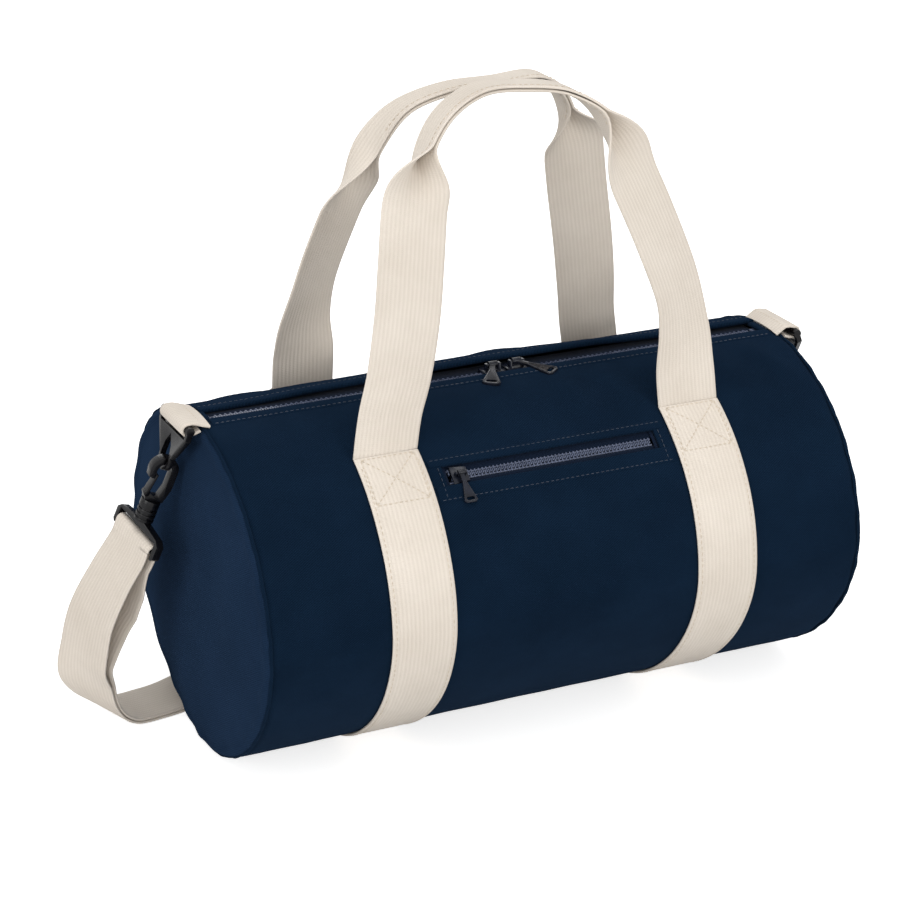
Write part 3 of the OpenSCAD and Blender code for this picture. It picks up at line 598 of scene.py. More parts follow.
grid_x, grid_t = np.meshgrid(xs, ts)
lay = columns(grid_x, arc(grid_t))
barrel = sheet_mesh("barrel_cloth", cloth(grid_x, grid_t), lay, NAVY, WALL, skip=in_pocket, flip=True)
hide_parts("barrel_shell")
for end, side_name in SIDES.items():
    end_x = np.linspace(MOUTH_LEN / 2 - 2, HALF_LEN, 5) * end
    grid_x, grid_t = np.meshgrid(end_x, 90 + np.linspace(-1, 1, 5) * MOUTH_TURN)
    lower = np.minimum(relief(grid_x, FRONT_EDGE), relief(grid_x, REAR_EDGE)) - 0.1
    lay = columns(grid_x, arc(grid_t))
    grid = at_surface(grid_x, grid_t, lower)
    sheet_mesh("mouth_end_cloth_" + side_name, grid, lay, NAVY, WALL, flip=end > 0)


# End panels and their seams
def shrunk(t, share, grow):
    """The barrel's outline at angle t, drawn in towards the middle."""
    y, z = section(t, grow)
    return y * share, WIDEST_Z + (np.maximum(z, 0.0) - WIDEST_Z) * share


PANEL_T, LEAF_T = 1.6, 0.7
PANEL_SHARES = [
    1.0, 0.992, 0.98, 0.962, 0.94, 0.91, 0.87, 0.82, 0.76, 0.69, 0.61, 0.52, 0.42, 0.31, 0.2, 0.1, 0.03,
]
# How far the dome stands out, as a share of the bulge, from the middle of the panel to its rim
DOME_AT = [0, 0.1, 0.35, 0.55, 0.72, 0.86, 0.95, 1.0]
DOME_RISE = [1.0, 0.99, 0.97, 0.87, 0.64, 0.38, 0.16, 0.0]


def end_panel(side):
    t = np.arange(-90, 270, 2.0)
    rings = []
    for share in PANEL_SHARES:
        y, z = shrunk(t, share, -0.6)
        base = np.interp(share, DOME_AT, DOME_RISE) * BULGE
        p = columns(0, y, z)
        dents = 0.9 * cloudiness(p, 60.0, 3.0 + side) + 0.4 * cloudiness(p * [1, 1.6, 0.6], 24.0, 5.0 + side)
        # soft upright folds below the top, as the cloth hangs from the tab
        folds = 1.5 * hill(y + 26 * side, 12) * ease(z, 60, 130) - 1.3 * hill(y + 46, 13) * ease(z, 40, 110)
        waves = 0.45 * np.sin(np.radians(t) * 23 + 1.4 * np.sin(np.radians(t) * 5))
        gathers = waves * ease(share, 0.82, 0.97) * (1 - ease(share, 0.985, 1.0))
        x = HALF_LEN + 0.35 + base + gathers
        x += (dents + folds) * (1 - ease(share, 0.9, 1.0)) * ease(base, 0.3, 5)
        x += 1.6 * math.sin(min((1 - share) / 0.06, 1) * math.pi)
        rings.append(columns(side * x, y, z))
    rings = np.array(rings)
    n, m = rings.shape[:2]
    faces = grid_faces(n, m, wrap=True) + [list(range((n - 1) * m, n * m))]
    # the end panels take the lighter navy, whose extra brightness is painted sheen
    panel = soft_mesh(SIDES[side] + "_end_cloth", rings, faces, rings[..., 1:], NAVY_END_PAINTED_SHEEN)
    tidy_normals(panel)
    thicken(panel, PANEL_T, -1.0)
    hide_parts(SIDES[side] + "_end_panel")


def end_seam(side):
    """The turned seam: a soft ridge that runs round the end, with small puckers."""
    t = np.arange(-90, 270, 1.0)
    turn = around(10)
    y, z = shrunk(t, 1.0, -0.75)
    out = normal_at(t)
    wavy = 0.30 * np.sin(arc(t) / 3.7 + 1.2 * np.sin(arc(t) / 17)) + 0.15 * np.sin(arc(t) / 1.9)
    centre = columns(side * (HALF_LEN - 0.1 + 0.5 * wavy), y, np.maximum(z, 0.85))
    on_floor = z < 0.4
    centre += out * np.where(on_floor, 0, 0.15 + 0.35 * wavy)[:, None]
    size = (1.05 + 0.14 * wavy)[:, None, None]
    circle = columns(np.cos(turn) * 0.95, 0, 0) + out[:, None] * np.sin(turn)[:, None] * 0.8
    skin = centre[:, None] + size * circle
    skin[..., 2] = np.maximum(skin[..., 2], 0.02)
    faces = grid_faces(*skin.shape[:2], wrap=True, closed=True)
    seam = soft_mesh(SIDES[side] + "_end_seam", skin, faces, columns(arc(t)[:, None], turn * 1.2), NAVY)
    tidy_normals(seam)


# Section of the tape over the inner seam: place along the barrel from its end, height above the cloth
BINDING = [
    (-5.2, -0.5), (-5.4, -0.9), (-5.2, -1.25), (-2.5, -1.4),
    (-0.6, -1.3), (-0.4, -0.9), (-0.6, -0.45), (-2.5, -0.35),
]


def inner_binding(side):
    """Cloth tape folded over the raw seam inside the barrel."""
    t = np.arange(-90, 270, 3.0)[:, None]
    from_end, high = np.array(BINDING).T
    y, z = section(t, -WALL - GAP + high + 0.12 * np.sin(np.radians(t) * 31))
    lowest = WALL + WEB_T + GAP * 2 + 0.35 - high
    rings = columns(side * (HALF_LEN + from_end), y, np.maximum(z, lowest))
    faces = grid_faces(*rings.shape[:2], wrap=True, closed=True)
    tape = soft_mesh(SIDES[side] + "_binding_tape", rings, faces, columns(arc(t), from_end), LINING)
    tidy_normals(tape)
    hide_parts(SIDES[side] + "_seam_binding")


for side in SIDES:
    end_panel(side)
    end_seam(side)
for side in SIDES:
    inner_binding(side)


# Webbing
def web_profile(width, thick, count=14):
    """Section of a webbing strap: flat faces, rounded selvedges. Across, out."""
    half = width / 2
    q = np.linspace(-half + 0.5, half - 0.5, count)
    crown = thick / 2 * (1 - 0.10 * np.abs(q / half) ** 3)
    right = np.array([[half - 0.12, thick * 0.3], [half, 0], [half - 0.12, -thick * 0.3]])
    return np.concatenate([columns(q, crown), right, columns(q, -crown)[::-1], right[::-1] * [-1, 1]])


def web_lay(run, profile):
    """Cloth coordinates of webbing: its under face is set off, so that the two faces differ."""
    return columns(np.asarray(run)[..., None], profile[:, 0] + np.where(profile[:, 1] < 0, 0.6, 0.0))


def strap_along(name, route, across, out, body, wobble=0.12, seed=1.0, start=0.0):
    profile = web_profile(WEB_W, WEB_T)
    run = run_length(route) + start
    edge = 1 + cloudiness(columns(run, 0, 0), 30.0, seed) * wobble / (WEB_W / 2)
    wide = across[:, None] * (profile[:, 0] * edge[:, None])[..., None]
    skin = route[:, None] + wide + out[:, None] * profile[:, 1, None]
    return sweep(name, skin, web_lay(run, profile), CREAM, body)


def sewn_box(route, across, out):
    """A stitched square with its cross, near the start of a length of webbing."""
    run = run_length(route)
    low, high, half = 1.3, 30.0, WEB_W / 2 - 3.4
    k = np.linspace(0, 1, 24)
    wide, tall = half * (2 * k - 1), low + (high - low) * k
    for q, s in ((wide, low), (wide, high), (-half, tall), (half, tall), (wide, tall), (-wide, tall)):
        s = s + 0 * k
        up = unit(picked(s, run, out))
        line = picked(s, run, route) + picked(s, run, across) * columns(q + 0 * k) + up * WEB_T / 2
        sew("bands", line, up, BOX_STITCH)


def band(side):
    """Webbing round the barrel, from the front stitch line to the rear one."""
    rise = (STITCH_Z - WEB_T * 0.45 - WIDEST_Z) / (BARREL_H - WIDEST_Z + (GAP + WEB_T) / 2)
    first = 180 - math.degrees(math.asin(rise))
    last = 540 - first
    t = np.linspace(first, last, 190)
    x = side * BAND_X + 0.5 * cloudiness(columns(arc(t), 0, 0), 70.0, 8.0 + side)
    route = at_surface(x, t, relief(x, t) * 0.6 + GAP + WEB_T / 2, WEB_T / 2)
    tangent = tangents(route)
    across = across_of([1.0, 0, 0], tangent)
    out = unit(np.cross(across, tangent))
    out *= np.sign((out * normal_at(t)).sum(-1))[:, None]
    obj = strap_along(SIDES[side] + "_band_webbing", route, across, out, "root", seed=4.0 + side)
    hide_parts(SIDES[side] + "_band")
    sewn = (t > first + 2) & (t < last - 2) & (route[:, 2] > 3)
    for edge in (-1, 1):
        line = route + across * (WEB_W / 2 - 2.2) * edge + out * WEB_T / 2
        for part in np.split(np.arange(len(t)), np.where(~sewn)[0]):
            part = part[sewn[part]]
            if len(part) > 3:
                sew("bands", line[part], out[part], BAND_STITCH)
    sewn_box(route, across, out)
    sewn_box(route[::-1], across[::-1], out[::-1])


for side in SIDES:
    band(side)
make_threads("bands", "band_stitches", CREAM_THREAD, "root")


# Handles. Each route is a list of shares of half length, half width and height, from foot to foot
FRONT_ROUTE = [
    (-0.516, -0.55, 0.925), (-0.49, -0.52, 1.03), (-0.452, -0.495, 1.14), (-0.421, -0.48, 1.3),
    (-0.398, -0.445, 1.45), (-0.367, -0.38, 1.6), (-0.316, -0.3, 1.722), (-0.222, -0.2, 1.81),
    (-0.09, -0.12, 1.855), (0.05, -0.1, 1.852), (0.195, -0.16, 1.832), (0.298, -0.255, 1.755),
    (0.366, -0.35, 1.595), (0.436, -0.41, 1.43), (0.502, -0.445, 1.26), (0.52, -0.48, 1.13),
    (0.516, -0.515, 1.02), (0.516, -0.55, 0.925),
]
REAR_ROUTE = [
    (-0.516, 0.55, 0.925), (-0.517, 0.52, 1.03), (-0.515, 0.49, 1.14), (-0.48, 0.43, 1.3),
    (-0.418, 0.36, 1.48), (-0.354, 0.285, 1.65), (-0.262, 0.2, 1.775), (-0.13, 0.12, 1.832),
    (0.03, 0.09, 1.842), (0.18, 0.12, 1.84), (0.285, 0.2, 1.768), (0.355, 0.29, 1.63),
    (0.398, 0.35, 1.45), (0.437, 0.4, 1.28), (0.467, 0.45, 1.13), (0.49, 0.505, 1.02),
    (0.516, 0.55, 0.925),
]
FOOT, RISE_SHARE = (0.516, 0.55, 0.925), 0.94
WEB_MIDDLE = GAP + WEB_T / 2
STITCH_RISE = (STITCH_Z - WIDEST_Z) / (BARREL_H - WIDEST_Z + WEB_MIDDLE)
STITCH_Y = (HALF_W + WEB_MIDDLE) * math.sqrt(1 - STITCH_RISE ** 2)
HANDLE_RISE = 184.0
FOLDED = math.radians(90.4)
FOLD_RUN, FOLD_SHIFT = 0.078, 9.5
CREASE, SOFT_CREASE = 1.95, 7.0
GRIP_FROM = 0.345


def folded_section(turn):
    """Section of a handle's webbing, flat at turn 0 and folded double at turn 1.

    Gives its skin, its cloth coordinates, and the place and slope of its stitch line.
    """
    half = WEB_W / 2
    q = np.concatenate([np.linspace(0, 3.2, 9), np.linspace(4.2, half - 0.4, 11)])
    fine = np.linspace(0, half, 400)
    slope = FOLDED * turn * ease(fine, 0, CREASE + (1 - turn) * SOFT_CREASE)
    a, b = (np.concatenate([[0], np.cumsum(f(slope[:-1]) * np.diff(fine))]) for f in (np.cos, np.sin))

    def middle(at):
        return columns(np.interp(at, fine, a), -np.interp(at, fine, b)), np.interp(at, fine, slope)

    centre, lean = middle(q)
    crown = WEB_T / 2 * (1 - 0.12 * (q / half) ** 4)
    lift = columns(np.sin(lean) * crown, np.cos(lean) * crown)
    right = np.concatenate([centre + lift, middle([half])[0], (centre - lift)[::-1]])
    left = right[::-1] * [-1, 1]
    across = np.concatenate([q, [half], q[::-1]])
    seam, seam_lean = middle(half - 3.0)
    seam = seam + np.array([math.sin(seam_lean), math.cos(seam_lean)]) * WEB_T / 2
    skin = np.concatenate([right[:-1], left[:-1]])
    return skin, np.concatenate([across[:-1], -across[::-1][:-1]]), seam, seam_lean


def handle(name, shares, side, twists, folds):
    """A carry handle. twists turns its two legs, and folds says where each begins to fold double."""
    x, y, z = np.array(shares).T
    y = side * np.abs(y) * STITCH_Y / FOOT[1]
    route = spline(columns(x * BAND_X / FOOT[0], y, STITCH_Z + (z - FOOT[2]) * HANDLE_RISE / RISE_SHARE), 9)
    u = np.concatenate([[0], np.linspace(0, 1, len(route)), [1]])
    feet = route[[0, -1]]
    feet[:, 2] = STITCH_Z - 0.7
    route = np.concatenate([feet[:1], route, feet[1:]])
    near = np.minimum(u, 1 - u)
    fold_at = np.where(u < 0.5, *folds)
    turn = ease(near, fold_at, fold_at + FOLD_RUN)
    t = tangents(route)
    t[:2], t[-2:] = [0, 0, 1], [0, 0, -1]
    rear = across_of([0.0, 1, 0], t)
    wide = unit(np.cross(rear, t))
    swing = np.radians(np.where(u < 0.5, *twists)) * ease(near, 0.04, 0.18) * (1 - ease(near, 0.3, 0.4))
    rear, wide = rotated(rear, wide, swing[:, None])
    skins, lays, edges, edge_out = [], [], [], []
    for i, length in enumerate(run_length(route)):
        loop, loop_lay, (seam_x, seam_y), lean = folded_section(turn[i])
        middle = route[i] + rear[i] * FOLD_SHIFT * turn[i]
        skins.append(middle + wide[i] * loop[:, :1] + rear[i] * loop[:, 1:])
        lays.append(columns(length, loop_lay))
        edges.append([middle + wide[i] * k * seam_x + rear[i] * seam_y for k in (1, -1)])
        edge_out.append([wide[i] * k * math.sin(lean) + rear[i] * math.cos(lean) for k in (1, -1)])
    obj = sweep(name + "_webbing", skins, lays, CREAM, None)
    edges, edge_out = np.array(edges), np.array(edge_out)
    grip = (u > GRIP_FROM) & (u < 1 - GRIP_FROM)
    for k in (0, 1):
        sew(name, edges[grip, k], edge_out[grip, k], GRIP_STITCH)
    make_threads(name, name + "_stitches", CREAM_THREAD, name)
    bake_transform(obj)
    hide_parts(name)


handle("front_handle", FRONT_ROUTE, -1, (-5, -22), (0.285, 0.285))
handle("rear_handle", REAR_ROUTE, 1, (30, 4), (0.245, 0.285))


# Ring tabs: webbing that leaves the barrel's end, turns round the bar of the ring and comes back below
BAR_X, BAR_Z, BAR_R = HALF_LEN + 9.0, BARREL_H - WEB_T / 2, 2.4
TAB_W = WEB_W * 0.95
TAB_TURN_R = BAR_R + 0.08 + WEB_T / 2
TAB_CURVE = 242.0
SEAM_OUT = 2.0


def ring_tab(side):
    name = SIDES[side]
    bow = 0.0 if side < 0 else 1.8
    turn = np.radians(np.arange(95, -100, -15.0))
    # in section, x and z from the top of the barrel's end; the right tab bows up a little
    over = [(-3.4, 0.6), (-0.5, 1.5 + bow * 0.6), (2.5, 2.2 + bow), (5.6, 2.55 + bow / 2)]
    under = [(6.0, -3.3), (3.6, -2.1), (2.0, -1.3)]
    round_bar = columns(BAR_X + TAB_TURN_R * np.cos(turn), BAR_Z + TAB_TURN_R * np.sin(turn))
    corner = np.array([HALF_LEN, BARREL_H])
    path = spline(np.concatenate([corner + over, round_bar, corner + under]), 4)
    ahead = unit(np.gradient(path, axis=0))
    normal = columns(-ahead[:, 1], ahead[:, 0])
    profile = web_profile(TAB_W, WEB_T)
    y = profile[:, 0]
    seat = 1 - ease(path[:, :1], HALF_LEN - 1, HALF_LEN + 8)
    middle = path[:, None] + normal[:, None] * profile[:, 1, None]
    rings = columns(side * middle[..., 0], y, middle[..., 1] - y * y / TAB_CURVE * seat)
    obj = sweep(name + "_tab_webbing", rings, web_lay(run_length(path), profile), CREAM)
    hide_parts(name + "_ring_tab")
    at_x, at_z = path[np.argmin(np.abs(path[:30, 0] - HALF_LEN - SEAM_OUT))]
    y = np.linspace(-TAB_W / 2 + 1.5, TAB_W / 2 - 1.5, 20)
    line = columns(side * at_x, y, at_z + WEB_T / 2 - y * y / TAB_CURVE)
    sew("tabs", line, np.tile([0.0, 0, 1], (len(y), 1)), TAB_STITCH)


for side in SIDES:
    ring_tab(side)
make_threads("tabs", "tab_stitches", CREAM_THREAD, "root")


# Hardware from the CAD shapes
def rounded(node, name, mat, body, width, segments):
    """A copy of a moulded or pressed part with rounded edges, in place of the plain node."""
    mesh = cad[node].data.copy()
    mesh.name = name
    work = bmesh.new()
    work.from_mesh(mesh)
    bmesh.ops.remove_doubles(work, verts=work.verts, dist=2e-6)
    bmesh.ops.dissolve_limit(work, angle_limit=math.radians(1.5), verts=work.verts, edges=work.edges)
    work.to_mesh(mesh)
    work.free()
    mesh.materials.clear()
    mesh.materials.append(mat)
    mesh.polygons.foreach_set("use_smooth", [True] * len(mesh.polygons))
    obj = piece(name, mesh, body)
    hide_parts(node)
    bevel = obj.modifiers.new("edges", "BEVEL")
    bevel.width, bevel.segments, bevel.limit_method = width * MM, segments, "ANGLE"
    bevel.angle_limit = math.radians(28)
    bevel.harden_normals = True
    bevel.use_clamp_overlap = True


for side_name in SIDES.values():
    for node, name, mat, body, width, segments in (
        ("_ring", "_ring_moulding", BLACK, "_ring", 0.45, 3),
        ("_hook", "_hook_moulding", BLACK, "_hook", 0.45, 3),
        ("_gate", "_gate_moulding", BLACK, "_gate", 0.3, 2),
        ("_strap_base", "_base_moulding", BLACK, "_base", 0.55, 3),
        ("_slider", "_slider_body", METAL, "_slider", 0.28, 2),
        ("_slider_pull", "_pull_plate", METAL, "_pull", 0.22, 2),
    ):
        rounded(side_name + node, side_name + name, mat, side_name + body, width, segments)
rounded("pocket_slider", "pocket_slider_body", METAL, "pocket_slider", 0.2, 2)
rounded("pocket_pull", "pocket_pull_plate", METAL, "pocket_pull", 0.18, 2)
rounded("strap_adjuster", "adjuster_moulding", BLACK, "adjuster", 0.5, 3)
rounded("zip_end_stops", "zip_stop_mouldings", TEETH, "root", 0.35, 2)


# Zips, drawn at the size of the main one; the pocket's is the same at a smaller scale
BEAD_IN, BEAD_OUT, BEAD_H = PITCH * 0.53, PITCH * 1.07, PITCH * 0.6
TOOTH_W, TOOTH_H, TOOTH_REACH = PITCH * 0.43, PITCH * 0.87, PITCH * 0.37
SLIDER_LEN = 13.0
SPREAD_MAX, SPREAD_REACH = PITCH * 0.87, SLIDER_LEN * 0.77
TAPE_T, TAPE_W = 0.8, 13.0
BEAD_SHARE, LEAN_SHARE = 0.46, 0.8
PAIR_X = 7.0
SLIDER_FLOOR = 0.2 + 1.3
ZIP_Z = float(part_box("left_slider")[0][2]) / MM + TOOTH_H / 2 + SLIDER_FLOOR


def spread(x, x0):
    """How far each row of teeth stands off the middle at x, beside the sliders at x0."""
    near = np.minimum(np.abs(np.asarray(x, float) - x0), SPREAD_REACH)
    return SPREAD_MAX * (1 + np.cos(math.pi * near / SPREAD_REACH)) / 2


def tooth_template():
    """One moulded tooth: a rounded head on a narrower neck, clasping the bead of the tape."""
    widths = [
        (-TOOTH_REACH, 0.62), (-TOOTH_REACH + 0.35, 1.0), (-0.25, 1.0), (0.3, 0.66),
        (BEAD_IN * 0.8, 0.72), (BEAD_IN + 0.3, 1.0), (BEAD_OUT - 0.25, 0.95), (BEAD_OUT + 0.15, 0.6),
    ]
    ring = [(-1, -0.72), (-0.8, -1), (0.8, -1), (1, -0.72), (1, 0.72), (0.8, 1), (-0.8, 1), (-1, 0.72)]
    points = []
    for y, wide in widths:
        tall = TOOTH_H / 2 * (0.82 if y < -0.8 else 1.0 if y < BEAD_IN else 0.86)
        points += [(a * TOOTH_W / 2 * wide, y, b * tall) for a, b in ring]
    return np.array(points), tube_faces(len(widths), len(ring))


def zip_side(name, half, x0, phase, side, scale, to_frame, node):
    """A row of teeth with the bead they are moulded on. side is +1 or -1 across the chain."""
    tooth, tooth_faces = tooth_template()
    points, faces = [], []
    step = 1e-3
    for x in np.arange(-half + PITCH * (0.5 + phase), half - TOOTH_W, PITCH):
        lean = math.atan2(float(spread(x + step, x0) - spread(x - step, x0)), 2 * step) * LEAN_SHARE
        out = tooth[:, 1] + tooth[:, 0] * math.sin(lean) + spread(x, x0)
        faces += [[len(points) * len(tooth) + v for v in f] for f in tooth_faces]
        points.append(columns(tooth[:, 0] * math.cos(lean) + x, out * side, tooth[:, 2]))
    bead_x = np.arange(-half, half + 0.1, 1.5)[:, None]
    turn = around(8)
    middle = (BEAD_IN + BEAD_OUT) / 2 + spread(bead_x, x0)
    bead_y = (middle + np.cos(turn) * (BEAD_OUT - BEAD_IN) * BEAD_SHARE) * side
    bead = columns(bead_x, bead_y, np.sin(turn) * BEAD_H * BEAD_SHARE)
    faces += [[len(points) * len(tooth) + v for v in f] for f in tube_faces(*bead.shape[:2])]
    points = np.concatenate(points + [bead.reshape(-1, 3)])
    obj = soft_mesh(name, to_frame(points * scale), faces, points[:, :2], TEETH, smooth=False)
    tidy_normals(obj)
    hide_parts(node)


def zip_tape(name, half, width, x0, side, scale, to_frame, node):
    x = np.arange(-half, half + 0.1, 2.0)[:, None]
    k = np.linspace(0, 1, 9)
    inner = BEAD_OUT + 0.1 + spread(x, x0)
    y = inner + (BEAD_OUT + width - inner) * k
    waves = 0.12 * cloudiness(columns(x, y, 0), 18.0, 11.0).reshape(y.shape)
    p = columns(x, y * side, waves * k)
    grid = to_frame(p.reshape(-1, 3) * scale).reshape(p.shape)
    obj = sheet_mesh(name, grid, p[..., :2], TAPE, TAPE_T * scale, offset=0.0)
    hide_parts(node)


def main_frame(p):
    return p + [0, 0, ZIP_Z]


POCKET_Y, POCKET_Z = (float(v) for v in section(POCKET_T, 0))
# the slope of the front at the pocket, as in the solids
TILT = math.radians(40.593462)
POCKET_DEPTH = WALL + TAPE_T + 2 * GAP


def pocket_frame(p, depth=POCKET_DEPTH):
    y, z = rotated(p[:, 1], p[:, 2] - depth, TILT)
    return columns(p[:, 0], POCKET_Y + y, POCKET_Z + z)


tape_half = MOUTH_LEN / 2 - GAP
teeth_half = tape_half - PITCH * 1.3 - 0.4
for word, side, phase in (("front", -1, 0.0), ("rear", 1, 0.5)):
    zip_tape(word + "_tape_cloth", tape_half, TAPE_W, PAIR_X, side, 1.0, main_frame, word + "_zip_tape")
    zip_side(word + "_teeth_row", teeth_half, PAIR_X, phase, side, 1.0, main_frame, word + "_zip_teeth")
SMALL, NARROW_W = 0.75, TAPE_W * 0.8
POCKET_SLIDER_X = -POCKET_LEN / 2 + SLIDER_LEN * SMALL
tape_half, teeth_half = (POCKET_LEN / 2 + WEB_T * 2) / SMALL, (POCKET_LEN / 2 - PITCH) / SMALL
spread_x = POCKET_SLIDER_X / SMALL - SLIDER_LEN * 0.55
for word, side, phase in (("upper", 1, 0.0), ("lower", -1, 0.5)):
    name = "pocket_" + word
    zip_tape(name + "_tape_cloth", tape_half, NARROW_W, spread_x, side, SMALL, pocket_frame, name + "_tape")
    zip_side(name + "_teeth_row", teeth_half, spread_x, phase, side, SMALL, pocket_frame, name + "_teeth")


# Folded hems and their stitch lines
def hem(name, x0, x1, t_edge, away, width, thick):
    """The cloth folded under along an opening. away is +1 where the cloth lies at growing angles."""
    s, high = np.array([
        (-0.3, -1.7), (-0.85, -1.1), (-0.95, -0.3), (-0.7, 0.45), (-0.1, 0.85), (0.8, 0.95),
        (width * 0.5, 0.85), (width - 1.4, 0.6), (width - 0.3, 0.22), (width + 0.3, 0.02),
        (width + 0.3, -0.4), (width * 0.5, -0.5), (1.0, -0.8),
    ]).T
    x = np.linspace(x0, x1, int(abs(x1 - x0) / 2.5) + 2)[:, None]
    t = t_edge + away * turn_of(s)
    puff = 1 + 0.16 * cloudiness(columns(x, t_edge, 0), 12.0, 13.0)[:, None]
    under = relief(x, t_edge + away * turn_of(np.maximum(s, 0)))
    rings = at_surface(x, t, under + high * np.where(high > 0, thick * puff, 1.0))
    sweep(name, rings, columns(x, arc(t)), NAVY)
    stitch_t = np.full(200, t_edge + away * turn_of(width - 1.3))
    line = cloth(np.linspace(x0 + 1, x1 - 1, 200), stitch_t, 0.52 * thick)
    sew("navy", line, normal_at(stitch_t), HEM_STITCH)


hem("front_mouth_hem", -MOUTH_LEN / 2, MOUTH_LEN / 2, FRONT_EDGE, 1, 7.0, 0.7)
hem("rear_mouth_hem", -MOUTH_LEN / 2, MOUTH_LEN / 2, REAR_EDGE, -1, 7.5, 1.0)
hem("pocket_upper_hem", -73, 72, POCKET_HIGH, -1, 4.6, 0.9)
hem("pocket_lower_hem", -73, 72, POCKET_LOW, 1, 8.6, 0.6)
# short rows across both ends of the mouth, then of the pocket
for end in SIDES:
    x = end * (MOUTH_LEN / 2 + 1.6)
    t = 90 - np.degrees(np.arcsin(np.linspace(0.5 - MOUTH_W / 2, MOUTH_W / 2 - 0.5, 8) / HALF_W))
    sew("navy", at_surface(x, t, relief(x, FRONT_EDGE) + 0.05), normal_at(t), MOUTH_STITCH)
for end in SIDES:
    t = np.linspace(POCKET_HIGH + 0.6, POCKET_LOW + 3.4, 20)
    sew("navy", cloth(end * (POCKET_LEN / 2 + 2.2), t, 0.35), normal_at(t), POCKET_STITCH)
make_threads("navy", "navy_stitches", NAVY_THREAD, "root")


# Pocket ends and bag
def pocket_tabs():
    """Short pieces of tape that close the pocket's zip at both ends."""
    half_y = (MOUTH_W * 0.8 - 2 * GAP) / 2
    profile = web_profile(PITCH - 0.8, TAPE_T, 6)
    v = np.linspace(-1, 1, 13)[:, None]
    for side, side_name in SIDES.items():
        middle = side * (POCKET_LEN / 2 - PITCH / 2 + 0.2)
        rings = columns(middle + profile[:, 0], v * half_y, profile[:, 1] + 0.25 * (1 - v * v))
        points = pocket_frame(rings.reshape(-1, 3), POCKET_DEPTH - TAPE_T - GAP).reshape(rings.shape)
        sweep("pocket_tab_" + side_name, points, rings[..., :2], TAPE)
    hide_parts("pocket_end_tabs")


def pocket_bag():
    """The hanging bag of the pocket: a back leaf, slack in its middle, and closed sides."""
    half = POCKET_LEN / 2 + WEB_T * 3
    top_t, low_t = 121.5, 196.5
    front, back = -WALL - GAP - 0.55, -WALL - GAP - 11.4
    x = np.linspace(-1, 1, 40)
    t = np.linspace(top_t, low_t, 34)[:, None]
    slack = 0.9 * np.sin(math.pi * (t - top_t) / (low_t - top_t))
    uneven = 0.25 * cloudiness(columns(x * half / 30, t / 12, 2.0), 1.0).reshape(len(t), len(x))
    leaf = at_surface(x * half * (1 - 0.004 * slack), t, back + slack * 0.4 * (1 - x * x) + uneven)
    obj = sheet_mesh("pocket_back_leaf", leaf, columns(x * half, arc(t)), LINING, LEAF_T, offset=0.0)
    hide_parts("pocket_lining")
    # sides, top and bottom in one ring, from the back leaf to just behind the barrel cloth
    down, still = np.linspace(top_t, low_t, 20), np.zeros(20)
    rim_x = np.concatenate([x * half, still + half, x[::-1] * half, still - half])
    rim_t = np.concatenate([x * 0 + top_t, down, x * 0 + low_t, down[::-1]])
    depth = np.linspace(back, front, 8)[:, None]
    swell = 1 + 0.003 * np.sin(math.pi * (depth - back) / (front - back))
    rim = at_surface(rim_x * swell, rim_t, depth)
    faces = grid_faces(*rim.shape[:2], wrap=True)
    gusset = soft_mesh("pocket_side_gusset", rim, faces, columns(run_length(rim[0]), depth), LINING)
    thicken(gusset, LEAF_T, 0.0)


pocket_tabs()
pocket_bag()


# Shoulder strap. Its bight and its run on the floor are shares of half length, half width and bar height;
# SLACK is how far the second layer stands off the first, by share of the height
BIGHT = [
    (-1.262, 0.112, 0.81), (-1.308, 0.205, 0.62), (-1.325, 0.29, 0.44),
    (-1.324, 0.345, 0.308), (-1.305, 0.39, 0.19), (-1.26, 0.43, 0.088), (-1.197, 0.463, 0.024),
]
SLACK = np.array([(0.1, 0), (0.2, 0.5), (0.38, 2), (0.54, 5.6), (0.69, 7.9), (0.82, 6.4), (0.93, 2.5)])
FLOOR = [(-1.12, 0.49), (-1.0, 0.53), (-0.8, 0.66), (-0.5, 0.75), (-0.36, 0.798), (-0.25, 0.82)]
ADJUSTER = (-0.11 * HALF_LEN, 0.83 * HALF_W)
# where the right hook hangs in its ring and how it leans, as in the solids
HOOK_X, HOOK_Z = 200.32264, 172.00213
LEAN, BACK, BASE_TURN = (math.radians(a) for a in (21, 8, -12))
COLLAR_R = 5.6
BEND_OUT = 1.6 + BAR_R + BAR_R * 1.7
COLLAR_BOTTOM = -BEND_OUT * 2.35 - COLLAR_R * 2.3
STRAP_BAR_R = BAR_R * 0.8
STRAP_BAR_Z = COLLAR_BOTTOM - 0.2 - BAR_R * 1.6 - WEB_T * 2.3 - STRAP_BAR_R * 1.3
TURN_R = STRAP_BAR_R + GAP + WEB_T / 2


def from_hook(p):
    """A place in the right hook's own frame, put where the hook hangs."""
    x, y, z = p
    y, z = rotated(y, z, BACK)
    x, z = rotated(x, z, LEAN)
    return np.array([HOOK_X + x, y, HOOK_Z + z])


def from_base(x, y, z):
    """The same for the strap base, which is turned on the hook's post."""
    return from_hook((*rotated(x, y, BASE_TURN), z))


def bar_turn(angle):
    a = math.radians(angle)
    return from_base(TURN_R * math.cos(a), 0, STRAP_BAR_Z + TURN_R * math.sin(a))


def beside_bar(side, depth):
    return from_base(TURN_R * side, 0, STRAP_BAR_Z - TURN_R * depth)


BAR_AXIS = from_base(0, 1, 0) - from_hook((0, 0, 0))
BAR_HEIGHT = float(from_hook((0, 0, STRAP_BAR_Z))[2])
LAY, STACK = WEB_T / 2, WEB_T + GAP


def bight(shares):
    return [np.array([-s[0] * HALF_LEN, s[1] * HALF_W, s[2] * BAR_HEIGHT]) for s in shares]


def on_floor(z):
    return [np.array([-s[0] * HALF_LEN, s[1] * HALF_W, z]) for s in FLOOR]


